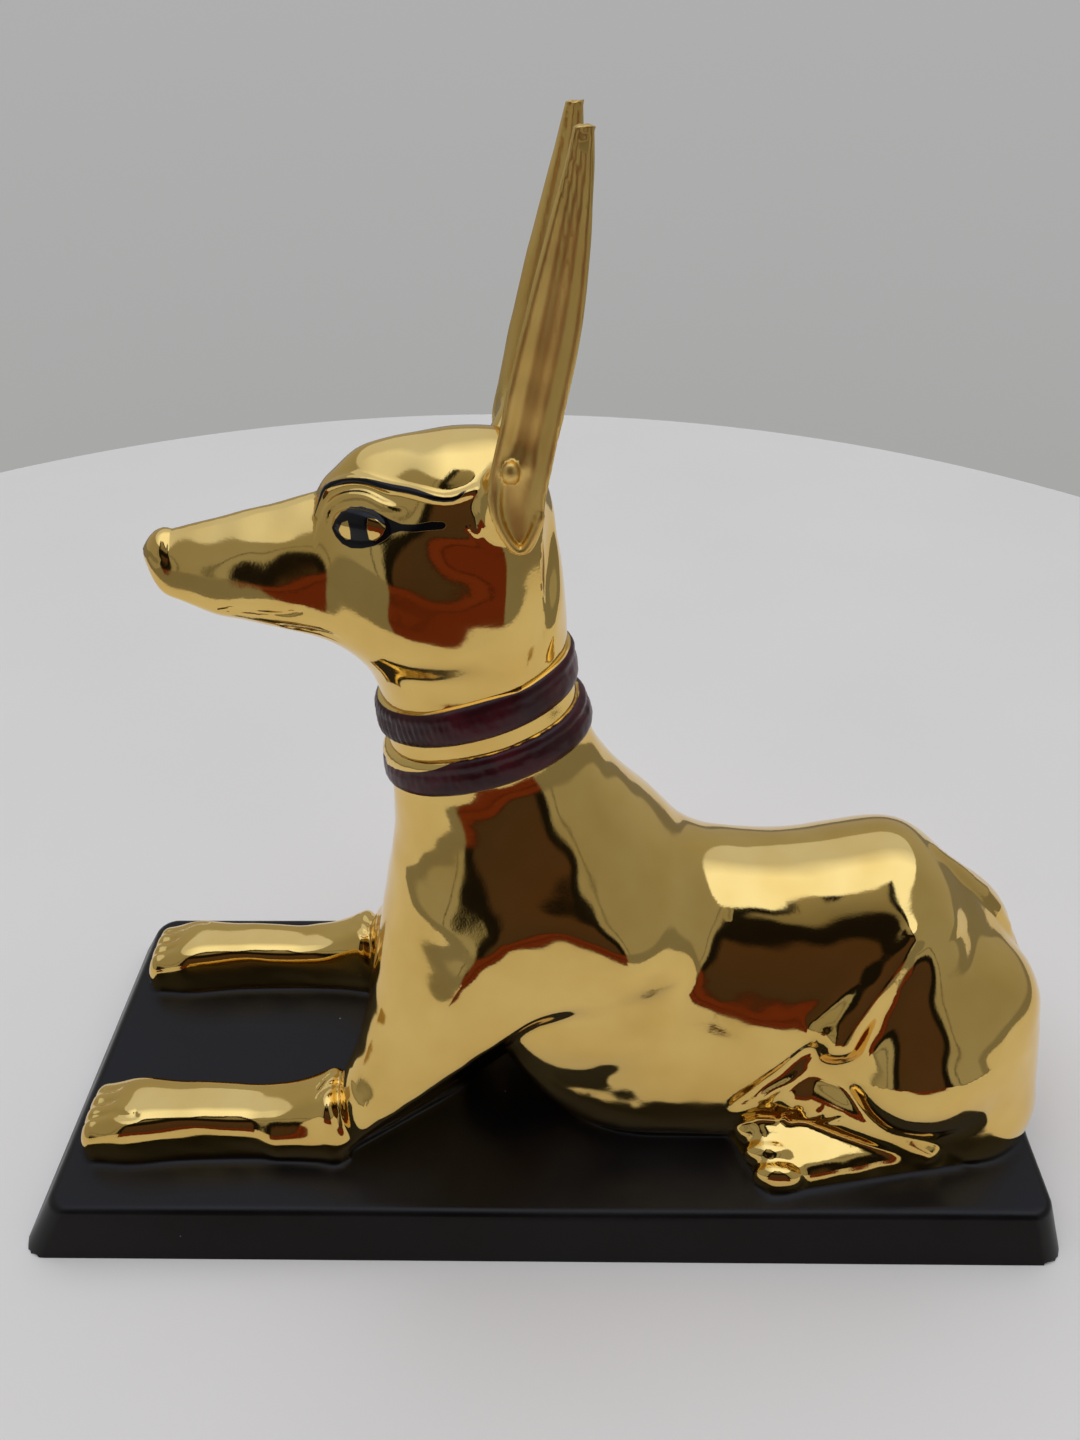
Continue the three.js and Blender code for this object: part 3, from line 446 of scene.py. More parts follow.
def carved(p):
    sink = np.zeros(len(p))
    for path, width, depth in carvedLines:
        margin = 3 * width
        near = np.all((p > path.min(0) - margin) & (p < path.max(0) + margin), 1)
        if not near.any():
            continue
        gap, place = toPath(p[near], path)
        ends = ease(place / lineFade) * ease((1 - place) / lineFade)
        sink[near] += depth * ends * np.exp(-(gap / width) ** 2)
    return sink


# Hand-made unevenness of the cast, in slow waves that show in the reflections alone

waves = {
    "rise": 0.022, "lengths": [13, 9.5, 7], "turns": [0.3, 1.7, 3.9],
    "ways": [[1, 0, 0.4], [-0.3, 0, 0.9], [0.4, 0.8, 0], [0, 0, 1]],
}


def unevenness(p):
    ways = p @ np.array(waves["ways"]).T
    total = 0
    for length, turn in zip(waves["lengths"], waves["turns"]):
        a, b, c, d = (2 * math.pi / length * ways).T
        total = total + np.sin(a + turn) * np.sin(b + 2 * turn) + np.sin(c - turn) * np.cos(d + turn)
    return total * waves["rise"]


# The whole skin

seatDepth = 0.4  # how far the figure is sunk into the plinth
starts = {"paw": -23, "hind": 22, "shoulder": 28, "tail": 51, "head": 68, "face": 93}  # in x or z


def pairOf(form, p, width):
    # Left and right copies meet in a soft valley instead of a crease
    return soften(form(p), form(p * [1, -1, 1]), width)


def twins(bar, p, width):
    return pairOf(lambda s: limb(s, bar), p, width)


def mirrored(q):
    return np.abs(q) * [0, 1, 0] + q * [1, 0, 1]


def bareSkin(q):
    # All forms run into each other, without the ears and the carving
    p = mirrored(q)
    skin = trunk(p)

    def join(where, form, width):
        if where.any():
            skin[where] = soften(skin[where], form(p[where]), width)

    x, z = p[:, 0], p[:, 2]
    hind, face = x > starts["hind"], z > starts["face"]
    join(hind, lambda s: pairOf(haunch, s, hindLeg["haunchPair"]), hindLeg["haunchFillet"])
    join(x < starts["shoulder"], lambda s: twins(foreLeg["shoulder"], s, foreLeg["shoulderPair"]),
         foreLeg["armFillet"])
    narrow, wide, start, over = foreLeg["crease"]
    skin = soften(skin, chest(p), narrow + (wide - narrow) * ease((z - start) / over))
    front = x < starts["hind"]
    skin[front] = -soften(-skin[front], -armFace(p[front]), foreLeg["faceEdge"])
    join(x < starts["paw"], forearm, foreLeg["fillet"])
    join(z > starts["head"], head, headForm["fillet"])
    join(hind, hindFoot, hindLeg["footFillet"])
    join(x > starts["tail"], lambda s: toPath(s, tailPath)[0] - tailForm["radius"], tailForm["fillet"])
    join(face, lambda s: toPath(s, browCrest)[0] - headForm["browRadius"], headForm["browFillet"])
    join(face, lambda s: egg(s, headForm["eye"]), headForm["eyeFillet"])
    return skin


def onSkin(points):
    return settle(bareSkin, smoothPath(points))[0]


def figure(q):
    skin, p = bareSkin(q), mirrored(q)
    face = p[:, 2] > starts["face"]
    if face.any():
        forward = np.where(q[face, 1] < 0, 0, earForm["farEarForward"])
        skin[face] = soften(skin[face], ear(p[face], forward), earForm["fillet"])
    near = np.abs(skin) < carveReach
    skin[near] += carved(p[near]) + unevenness(q[near])
    return np.maximum(skin, -seatDepth - q[:, 2])


carvedLines = [(onSkin(path), width, depth) for width, depth, path in carving.values()]
carvedLines += [(onSkin(path), pawToes["width"], pawToes["sink"]) for path in toePaths()]


# From a form to a mesh

meshing = {"step": 0.45, "block": 4, "reach": 3.4, "rounds": 3}


def skinOf(form, low, high, step):
    # The form is read once for each block of cells, and cell by cell only where its surface is near
    block, reach = meshing["block"], meshing["reach"]
    low, high = np.array(low, float), np.array(high, float)
    counts = np.ceil((high - low) / (step * block)).astype(int)
    blocks = np.indices(counts).reshape(3, -1).T
    coarse = form(low + (blocks + 0.5 - 0.5 / block) * step * block)
    near = blocks[np.abs(coarse) < reach]
    values = np.clip(coarse, -reach, reach).reshape(counts)
    for axis in range(3):
        values = values.repeat(block, axis)
    inner = np.indices((block,) * 3).reshape(3, -1).T
    cells = (near[:, None] * block + inner).reshape(-1, 3)
    values[tuple(cells.T)] = form(low + cells * step)
    grid = openvdb.FloatGrid(reach)
    grid.copyFromArray(values.astype(np.float32))
    points, _, quads = grid.convertToPolygons(isovalue=0.0, adaptivity=0.0)
    return low + points.astype(float) * step, quads


def meshFrom(name, points, faces):
    mesh = bpy.data.meshes.new(name)
    mesh.from_pydata(points.tolist(), [], faces.tolist())
    mesh.update()
    return mesh


def addObject(name, data):
    made = bpy.data.objects.new(name, data)
    bpy.context.collection.objects.link(made)
    return made


def evaluatedMesh(piece):
    return bpy.data.meshes.new_from_object(piece.evaluated_get(bpy.context.evaluated_depsgraph_get()))


def thinned(mesh, triangles):
    sheet = addObject("sheet", mesh)
    full = sum(len(face.vertices) - 2 for face in mesh.polygons)
    cut = sheet.modifiers.new("thin", "DECIMATE")
    cut.ratio = min(1, triangles / full)
    cut.use_collapse_triangulate = True
    result = evaluatedMesh(sheet)
    bpy.data.objects.remove(sheet)
    return result


def refined(mesh, regions):
    # Faces in the regions are cut in four, for the sharp edges of paint
    work = bmesh.new()
    work.from_mesh(mesh)
    for low, high in regions:
        chosen = set()
        for face in work.faces:
            x, y, z = face.calc_center_median()
            if low[0] < x < high[0] and low[1] < abs(y) < high[1] and low[2] < z < high[2]:
                chosen.update(face.edges)
        bmesh.ops.subdivide_edges(work, edges=list(chosen), cuts=1, use_grid_fill=True)
        bmesh.ops.triangulate(work, faces=work.faces)
    work.to_mesh(mesh)
    work.free()
    return mesh


def sculpted(name, form, low, high, step, triangles, shift, material, regions=()):
    # A finished piece, and where its points are on the form. The drawn millimetres become metres.
    points, quads = skinOf(form, low, high, step)
    mesh = refined(thinned(meshFrom(name, points, quads), triangles), regions)
    flat = np.empty(len(mesh.vertices) * 3, np.float32)
    mesh.vertices.foreach_get("co", flat)
    points, normals = settle(form, flat.reshape(-1, 3).astype(float), meshing["rounds"])
    mesh.vertices.foreach_set("co", ((points + shift) * mm).ravel())
    mesh.update()
    mesh.polygons.foreach_set("use_smooth", np.ones(len(mesh.polygons), bool))
    mesh.normals_split_custom_set_from_vertices(normals.tolist())
    mesh.materials.append(material)
    print(name + ":", len(quads), "quads, thinned to", len(mesh.polygons), "triangles")
    return addObject(name, mesh), points


def store(mesh, name, values, kind="FLOAT"):
    layer = mesh.attributes.new(name, kind, "POINT")
    layer.data.foreach_set("value" if kind == "FLOAT" else "vector", np.asarray(values, np.float32).ravel())


# Node helpers

def setInputs(tree, node, inputs):
    for key, value in inputs.items():
        if isinstance(value, bpy.types.NodeSocket):
            tree.links.new(value, node.inputs[key])
        else:
            node.inputs[key].default_value = value


def addNode(tree, kind, inputs=None, **settings):
    node = tree.nodes.new(kind)
    for key, value in settings.items():
        setattr(node, key, value)
    setInputs(tree, node, inputs or {})
    return node


def calc(tree, operation, *values, clamp=False):
    node = addNode(tree, "ShaderNodeMath", dict(enumerate(values)), operation=operation, use_clamp=clamp)
    return node.outputs[0]


def between(tree, value, low, high, kind="LINEAR", first=0.0, last=1.0):
    # 0 at the low end and 1 at the high one, or from the first value to the last
    return addNode(tree, "ShaderNodeMapRange", {
        "Value": value, "From Min": low, "From Max": high, "To Min": first, "To Max": last},
        interpolation_type=kind).outputs[0]


def rampOf(tree, source, stops):
    node = addNode(tree, "ShaderNodeValToRGB", {"Fac": source})
    ramp = node.color_ramp
    while len(ramp.elements) < len(stops):
        ramp.elements.new(0.5)
    for element, (position, colour) in zip(ramp.elements, stops):
        element.position = position
        element.color = (*colour, 1)
    return node.outputs["Color"]


def mixColour(tree, share, first, second, blend="MIX"):
    first, second = (value if isinstance(value, bpy.types.NodeSocket) else (*value, 1)
                     for value in (first, second))
    inputs = {0: share, 6: first, 7: second}
    return addNode(tree, "ShaderNodeMix", inputs, data_type="RGBA", blend_type=blend).outputs[2]


def mixValue(tree, share, first, second):
    return addNode(tree, "ShaderNodeMix", {0: share, 2: first, 3: second}, data_type="FLOAT").outputs[0]


def newGroup(name, inputs, outputs):
    # A shader group that takes the place on the piece and some numbers, and puts out values
    group = bpy.data.node_groups.new(name, "ShaderNodeTree")
    group.interface.new_socket("Position", in_out="INPUT", socket_type="NodeSocketVector")
    for socket, value in inputs.items():
        made = group.interface.new_socket(socket, in_out="INPUT", socket_type="NodeSocketFloat")
        made.default_value = value
    for socket in outputs:
        group.interface.new_socket(socket, in_out="OUTPUT", socket_type="NodeSocketFloat")
    return group, addNode(group, "NodeGroupInput").outputs, addNode(group, "NodeGroupOutput")


def glazeGroup():
    # Fine skin of a fired and dipped surface: small grain over slower ripples, and wide patches
    group, given, out = newGroup(
        "firedSkin", {"Grain Size": 0.5, "Ripple Size": 3.0, "Grain Share": 0.3}, ["Height", "Patch"])

    def noise(length, rate, detail):
        return addNode(group, "ShaderNodeTexNoise", {
            "Vector": given["Position"], "Scale": calc(group, "DIVIDE", rate / mm, given[length]),
            "Detail": detail}).outputs[0]

    ripple = noise("Ripple Size", 1, 1)
    height = calc(group, "MULTIPLY_ADD", noise("Grain Size", 1, 3), given["Grain Share"], ripple)
    setInputs(group, out, {"Height": height, "Patch": noise("Ripple Size", 0.3, 2)})
    return group


def dustGroup():
    # A speck in the middle of some cells
    group, given, out = newGroup("dustSpecks", {"Spacing": 4.0, "Speck": 0.05, "Missing": 0.6}, ["Mask"])
    cells = addNode(group, "ShaderNodeTexVoronoi", {
        "Vector": given["Position"], "Scale": calc(group, "DIVIDE", 1 / mm, given["Spacing"])})
    near = calc(group, "LESS_THAN", cells.outputs["Distance"], given["Speck"])
    draw = addNode(group, "ShaderNodeSeparateColor", {0: cells.outputs["Color"]}).outputs[0]
    rare = calc(group, "GREATER_THAN", draw, given["Missing"])
    setInputs(group, out, {"Mask": calc(group, "MULTIPLY", near, rare)})
    return group


glazeTree, dustTree = glazeGroup(), dustGroup()


def startMaterial(name):
    material = bpy.data.materials.new(name)
    material.use_nodes = True
    tree = material.node_tree
    position = addNode(tree, "ShaderNodeTexCoord").outputs["Object"]
    return material, tree, tree.nodes["Principled BSDF"], position


def glazedMaterial(name, finish):
    # A material with the fired skin on it, and the skin's patches as a mask
    material, tree, shader, position = startMaterial(name)
    skin = addNode(tree, "ShaderNodeGroup", {
        "Position": position, "Grain Size": finish["grain"], "Ripple Size": finish["ripple"]},
        node_tree=glazeTree).outputs
    bump = addNode(tree, "ShaderNodeBump", {"Height": skin["Height"], "Distance": finish["rise"] * mm})
    setInputs(tree, shader, {"Normal": bump.outputs[0], "Specular IOR Level": finish["gloss"]})
    return material, tree, shader, position, between(tree, skin["Patch"], *finish["patch"])


def painted(tree, name, edge):
    # A mask from an attribute that grows outwards through 0 at the edge of the paint
    layer = addNode(tree, "ShaderNodeAttribute", attribute_name=name).outputs["Fac"]
    return between(tree, layer, edge, -edge)


goldFinish = {
    "gold": (0.88, 0.61, 0.19), "goldDeep": (0.82, 0.54, 0.15), "polish": 0.05, "dull": 0.09,
    "earRoughness": 0.4, "grain": 0.3, "ripple": 2.6, "rise": 0.012, "patch": (0.35, 0.7),
    "enamel": (0.003, 0.003, 0.005), "enamelRoughness": 0.16, "gloss": 0.3, "paintEdge": 0.04,
}


def goldMaterial():
    material, tree, shader, _, patches = glazedMaterial("goldLustre", goldFinish)
    satin = addNode(tree, "ShaderNodeAttribute", attribute_name="satin").outputs["Fac"]
    paint = painted(tree, "paint", goldFinish["paintEdge"])
    gold = mixColour(tree, patches, goldFinish["gold"], goldFinish["goldDeep"])
    polish = mixValue(tree, patches, goldFinish["polish"], goldFinish["dull"])
    polish = mixValue(tree, satin, polish, goldFinish["earRoughness"])
    setInputs(tree, shader, {
        "Base Color": mixColour(tree, paint, gold, goldFinish["enamel"]),
        "Metallic": calc(tree, "SUBTRACT", 1.0, paint),
        "Roughness": mixValue(tree, paint, polish, goldFinish["enamelRoughness"])})
    return material


collarFinish = {
    "burgundy": (0.034, 0.004, 0.007), "burgundyLight": (0.075, 0.009, 0.014), "roughness": 0.3,
    "gloss": 0.32, "grain": 0.5, "ripple": 1.6, "rise": 0.03, "patch": (0.4, 0.65), "bareEdge": 0.01,
}


def collarMaterial():
    material, tree, shader, _, streak = glazedMaterial("burgundyEnamel", collarFinish)
    bare = painted(tree, "bare", -collarFinish["bareEdge"])
    colour = mixColour(tree, streak, collarFinish["burgundy"], collarFinish["burgundyLight"])
    setInputs(tree, shader, {
        "Base Color": mixColour(tree, bare, colour, goldFinish["gold"]), "Metallic": bare,
        "Roughness": mixValue(tree, bare, collarFinish["roughness"], goldFinish["dull"])})
    return material


lacquer = {
    "black": (0.003, 0.003, 0.004), "worn": (0.005, 0.005, 0.007), "roughness": 0.3, "matt": 0.42,
    "gloss": 0.3, "sheen": (1, 0.95, 0.86, 1), "grain": 0.35, "ripple": 5, "rise": 0.02,
    "patch": (0.35, 0.7), "dust": (0.22, 0.22, 0.22), "dustSpacing": 5, "dustSpeck": 0.03,
}


def lacquerMaterial():
    material, tree, shader, position, worn = glazedMaterial("blackLacquer", lacquer)
    dust = addNode(tree, "ShaderNodeGroup", {
        "Position": position, "Spacing": lacquer["dustSpacing"], "Speck": lacquer["dustSpeck"]},
        node_tree=dustTree).outputs["Mask"]
    colour = mixColour(tree, worn, lacquer["black"], lacquer["worn"])
    setInputs(tree, shader, {
        "Base Color": mixColour(tree, dust, colour, lacquer["dust"]),
        "Roughness": mixValue(tree, worn, lacquer["roughness"], lacquer["matt"]),
        "Specular Tint": lacquer["sheen"]})
    return material


gold, burgundy, black = goldMaterial(), collarMaterial(), lacquerMaterial()
print("materials ready")


# Painted eye and brow

facePaint = {
    "browHalf": 0.42, "browTip": 0.12, "browTaper": 0.6,
    "eye": [
        [-24, 101.8], [-23.4, 103], [-22.5, 104.1], [-21.3, 104.6], [-19.9, 104.8], [-18.5, 104.6],
        [-17.4, 104.1], [-16.4, 103.7], [-15, 103.3], [-13.4, 103.4], [-11.2, 103.9], [-9.7, 103.9],
        [-9.4, 103.4], [-10, 103], [-11.8, 102.8], [-13.5, 102.5], [-15.1, 102.5], [-16.2, 102.1],
        [-17, 101.4], [-18.4, 100.6], [-20.1, 100.1], [-21.6, 99.9], [-22.7, 100.2], [-23.5, 100.9]],
    "whites": [
        [[-23, 101.9], [-22.4, 103], [-21.6, 103.4], [-21.4, 102.2], [-21.5, 101], [-22.1, 100.8],
         [-22.8, 101.3]],
        [[-19, 104], [-18, 103.8], [-16.9, 102.9], [-17.4, 102], [-18.3, 101.2], [-19.1, 101.3],
         [-19.2, 102.7]]],
    "region": [[-27, 1.2, 98.5], [-5, 12, 110]], "far": 9,
}


def paintDistance(p):
    # How far each point is from the paint, negative inside it
    low, high = (np.array(corner) for corner in facePaint["region"])
    side = mirrored(p)
    near = np.all((side > low) & (side < high), 1)
    distance = np.full(len(p), float(facePaint["far"]))
    x, _, z = side[near].T
    eye = toOutline(x, z, facePaint["eye"])
    for white in facePaint["whites"]:
        eye = np.maximum(eye, -toOutline(x, z, white))
    gap, along = toPath(side[near], settle(figure, browCrest)[0])
    tip, full = facePaint["browTip"], facePaint["browHalf"]
    half = tip + (full - tip) * np.sin(math.pi * along) ** facePaint["browTaper"]
    distance[near] = np.minimum(eye, gap - half)
    return distance


# The jackal

jackal = {
    "low": [-77, -31, -1.2], "high": [81, 31, 148], "triangles": 165000,
    "eyeRegion": [[-27, 1.5, 98.5], [-5, 12, 110]],
    "forward": 1.4,  # from the drawn figure's x to the frame's
    # Satin gold on the ears: from this height up, over what height, and further out than this
    "satinBlade": [110, 6, 5], "satinCup": [100.5, 1.5, 10.6], "satinEdge": 0.6,
}
drawnShift = np.array([jackal["forward"], 0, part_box("plinth")[1].z / mm])


def makeJackal():
    piece, points = sculpted(
        "jackal_skin", figure, jackal["low"], jackal["high"], meshing["step"], jackal["triangles"],
        drawnShift, gold, [jackal["eyeRegion"]])
    store(piece.data, "paint", paintDistance(points))
    out, up = np.abs(points[:, 1]), points[:, 2]
    foot, over, beyond = jackal["satinBlade"]
    blade = ease((up - foot) / over) * (out > beyond)
    foot, over, beyond = jackal["satinCup"]
    cup = ease((up - foot) / over) * ease((out - beyond) / jackal["satinEdge"])
    store(piece.data, "satin", np.maximum(blade, cup))
    return piece


jackalPiece = makeJackal()


# Collar: two painted rolls round the neck, on a leaning ring

collar = {
    "middle": [-8, 0, 72.7], "lean": 15, "edges": {"upper": [0.5, 6], "lower": [-7.2, -1.9]},
    "sunk": 0.7, "around": 288, "across": 18, "reach": 26, "halvings": 16,
    "both": {"Rise": 1.15, "Rib Count": 78.0, "Fold Place": 0.35},
    "upper": {"Rib Height": 0.13, "Fold Depth": 0.12, "Bare Front": 0.0, "Seed": 3.0},
    "lower": {"Rib Height": 0.026, "Fold Depth": 0.3, "Bare Front": 1.1, "Seed": 4.0},
    # The hand in it: how fine the wobble is, and how far it shifts ribs, fold, height and paint
    "wobble": 9.0, "wobbleAcross": 0.15, "ribWobble": 0.02, "foldWobble": 0.5, "riseWobble": 0.35,
    "paintWobble": 0.12, "paintEdge": 0.985, "wedgeFrom": 0.35, "wedgeEdge": 0.035,
    "foldWidth": 0.14, "backRibs": 0.1,
}


def collarRing(low, high):
    # Rays from the ring's axis, halved until they end on the neck
    lean = math.radians(collar["lean"])
    up = np.array([-math.sin(lean), 0, math.cos(lean)])
    ahead = np.array([-math.cos(lean), 0, -math.sin(lean)])
    turns = np.linspace(0, 2 * math.pi, collar["around"], endpoint=False)
    shares = np.sin(np.linspace(-math.pi / 2, math.pi / 2, collar["across"]))
    turn, share = (grid.ravel() for grid in np.meshgrid(turns, shares, indexing="ij"))
    height = (low + high) / 2 + share * (high - low) / 2
    outward = np.cos(turn)[:, None] * ahead + np.sin(turn)[:, None] * np.array([0, 1, 0])
    start = np.array(collar["middle"]) + height[:, None] * up
    near, far = np.zeros(len(turn)), np.full(len(turn), float(collar["reach"]))
    for _ in range(collar["halvings"]):
        middle = (near + far) / 2
        inside = bareSkin(start + middle[:, None] * outward) < 0
        near, far = np.where(inside, middle, near), np.where(inside, far, middle)
    return start + near[:, None] * outward, outward, turn, share


def collarStrip(name, low, high):
    # The outer face and, sunk in the neck, the inner face of one roll
    points, outward, turn, share = collarRing(low, high)
    around, across = collar["around"], collar["across"]

    def loop(outer, inner):
        # One closed row of points at each turn: up the outer face and down the inner one
        shape = (around, across, -1)
        return np.concatenate([outer.reshape(shape), inner.reshape(shape)[:, ::-1]], 1).reshape(
            around * 2 * across, -1)

    index = np.arange(around * 2 * across).reshape(around, -1)
    nextTurn, nextRow = np.roll(index, -1, 0), np.roll(index, -1, 1)
    faces = np.stack([index, nextTurn, np.roll(nextTurn, -1, 1), nextRow], 2).reshape(-1, 4)
    places = loop(points, points - collar["sunk"] * outward)
    mesh = meshFrom(name, (places + drawnShift) * mm, faces)
    store(mesh, "share", loop(share, share))
    store(mesh, "turn", loop(turn, turn) / (2 * math.pi))
    store(mesh, "outer", loop(np.ones(len(turn)), np.zeros(len(turn))))
    store(mesh, "outward", loop(outward, outward), "FLOAT_VECTOR")
    return mesh


def collarTree():
    tree = bpy.data.node_groups.new("collarRolls", "GeometryNodeTree")
    sockets = [("Geometry", "Geometry"), ("Material", "Material")] + [
        (name, "Float") for name in (*collar["both"], *collar["upper"])]
    for name, kind in sockets:
        tree.interface.new_socket(name, in_out="INPUT", socket_type="NodeSocket" + kind)
    tree.interface.new_socket("Geometry", in_out="OUTPUT", socket_type="NodeSocketGeometry")
    given = addNode(tree, "NodeGroupInput").outputs
    do = partial(calc, tree)

    def attribute(name, kind="FLOAT"):
        return addNode(tree, "GeometryNodeInputNamedAttribute", {"Name": name}, data_type=kind).outputs[0]

    # Across the roll "share" runs from -1 to 1, and round it "front" is 1 at the front and 0 behind
    share, turn, outer = attribute("share"), attribute("turn"), attribute("outer")
    spin = do("MULTIPLY", turn, 2 * math.pi)
    front = do("MAXIMUM", do("COSINE", spin), 0.0)
    around = addNode(tree, "ShaderNodeCombineXYZ", {
        0: do("COSINE", spin), 1: do("SINE", spin), 2: do("MULTIPLY", share, collar["wobbleAcross"])})
    noise = addNode(tree, "ShaderNodeTexNoise", {
        "Vector": around.outputs[0], "W": given["Seed"], "Scale": collar["wobble"], "Detail": 2.0},
        noise_dimensions="4D")
    wobble = do("SUBTRACT", noise.outputs[0], 0.5)

    # The round of the roll, with ribs that fade to its edges and to the rear, and one long fold
    profile = do("SQRT", do("SUBTRACT", 1.0, do("POWER", do("ABSOLUTE", share), 4.0), clamp=True))
    ribTurn = do("MULTIPLY", do("MULTIPLY_ADD", wobble, collar["ribWobble"], turn), given["Rib Count"])
    ribs = do("MULTIPLY", do("SINE", do("MULTIPLY", ribTurn, 2 * math.pi)), given["Rib Height"])
    ribs = do("MULTIPLY", ribs, do("SUBTRACT", 1.0, do("MULTIPLY", share, share)))
    ribs = do("MULTIPLY", ribs, do("MULTIPLY_ADD", front, 1 - collar["backRibs"], collar["backRibs"]))
    foldAt = do("MULTIPLY_ADD", wobble, collar["foldWobble"], given["Fold Place"])
    foldGap = do("DIVIDE", do("SUBTRACT", share, foldAt), collar["foldWidth"])
    fold = do("EXPONENT", do("MULTIPLY", do("MULTIPLY", foldGap, foldGap), -1.0))
    rise = do("MULTIPLY_ADD", wobble, collar["riseWobble"], given["Rise"])
    rise = do("MULTIPLY_ADD", rise, profile, ribs)
    rise = do("SUBTRACT", rise, do("MULTIPLY", fold, given["Fold Depth"]))
    offset = addNode(tree, "ShaderNodeVectorMath", {
        0: attribute("outward", "FLOAT_VECTOR"), "Scale": do("MULTIPLY", do("MULTIPLY", rise, outer), mm)},
        operation="SCALE")

    # Bare gold where the brush missed: the very edges, and a wedge over the front upper edge
    edge = do("MULTIPLY_ADD", wobble, collar["paintWobble"], do("ABSOLUTE", share))
    wedge = do("MULTIPLY_ADD", do("SUBTRACT", front, collar["wedgeFrom"]), given["Bare Front"], share)
    wedge = do("ADD", wedge, collar["wedgeEdge"])
    bare = do("SUBTRACT", do("MAXIMUM", edge, wedge), collar["paintEdge"])

    roll = given["Geometry"]
    for kind, inputs in (
            ("SetPosition", {"Offset": offset.outputs[0]}),
            ("StoreNamedAttribute", {"Name": "bare", "Value": bare}), ("SetShadeSmooth", {}),
            ("RealizeInstances", {}), ("SetMaterial", {"Material": given["Material"]})):
        roll = addNode(tree, "GeometryNode" + kind, {"Geometry": roll, **inputs}).outputs[0]
    addNode(tree, "NodeGroupOutput", {"Geometry": roll})
    return tree


def makeCollar():
    tree = collarTree()
    sockets = {item.name: item.identifier for item in tree.interface.items_tree
               if item.item_type == "SOCKET" and item.in_out == "INPUT"}
    pieces = []
    for name, edges in collar["edges"].items():
        piece = addObject("collar_" + name, collarStrip(name, *edges))
        rolls = piece.modifiers.new("rolls", "NODES")
        rolls.node_group = tree
        for key, value in {**collar["both"], **collar[name], "Material": burgundy}.items():
            rolls[sockets[key]] = value
        mesh = evaluatedMesh(piece)
        piece.modifiers.clear()
        piece.data = mesh
        pieces.append(piece)
    print("collar:", sum(len(piece.data.polygons) for piece in pieces), "faces")
    return pieces


collarPieces = makeCollar()


# Plinth

plinth = {
    "sideDraft": 3.1, "frontDraft": 4.8, "rearDraft": 2, "corner": 3.5, "round": 0.9,
    "swell": 1.3, "swellFillet": 2.4, "swellGap": 0.35, "swellBand": [-3, 4],  # lacquer drawn up at the gold
    "step": 0.7, "margin": [2, 2, 2], "headroom": [2, 2, 4], "triangles": 60000,
    "waver": 0.12, "waverLength": 17,
}
plinthLow, plinthHigh = (np.array(corner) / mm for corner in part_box("plinth"))


def roundEdge(u, v, radius):
    return size(np.maximum(u, 0), np.maximum(v, 0)) + np.minimum(np.maximum(u, v), 0) - radius


def slab(p):
    # A drafted block with round corners and edges, in the part's own millimetres
    x, y, z = p.T
    share = np.clip((z - plinthLow[2]) / (plinthHigh[2] - plinthLow[2]), -0.2, 1.2)
    front = plinthLow[0] + plinth["frontDraft"] * share
    rear = plinthHigh[0] - plinth["rearDraft"] * share
    half = plinthHigh[1] - plinth["sideDraft"] * share
    waver = plinth["waver"] * np.sin(x / plinth["waverLength"] + 1) * share
    corner, rim = plinth["corner"], plinth["round"]
    u = np.abs(x - (front + rear) / 2) - (rear - front) / 2 + corner
    v = np.abs(y) - half - waver + corner
    above = roundEdge(roundEdge(u, v, corner) + rim, z - plinthHigh[2] + rim, rim)
    return np.maximum(above, plinthLow[2] - z)


def base(p):
    body = slab(p)
    above = p[:, 2] - plinthHigh[2]
    low, high = plinth["swellBand"]
    near = (above > low) & (above < high)
    if near.any():
        foot = bareSkin(p[near] - drawnShift) + plinth["swellGap"]
        body[near] = soften(body[near], foot, plinth["swellFillet"])
    return np.maximum(body, above - plinth["swell"])


plinthPiece = sculpted(
    "plinth_slab", base, plinthLow - plinth["margin"], plinthHigh + plinth["headroom"], plinth["step"],
    plinth["triangles"], 0, black)[0]

for piece in (jackalPiece, *collarPieces, plinthPiece):
    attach(piece, "root")
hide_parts("jackal")
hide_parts("plinth")


# Stage: a pale round table top, a plain grey room and one camera

table = {
    "radius": 0.312, "middle": [-0.039, 0.032], "sides": 160, "colour": (0.83, 0.82, 0.815),
    "roughness": 0.42, "mottle": 14.0, "mottleDepth": 0.97,
    # Seen in the gold, the table ends this many degrees below eye level, this far to either side; a band this
    # many degrees above that end is painted shade, a dark glow for the table's shaded edge
    "openAbove": 14.0, "openHalf": 29.0, "rim": 0.7, "paintedRimShade": (0.02, 0.012, 0.01, 1),
}


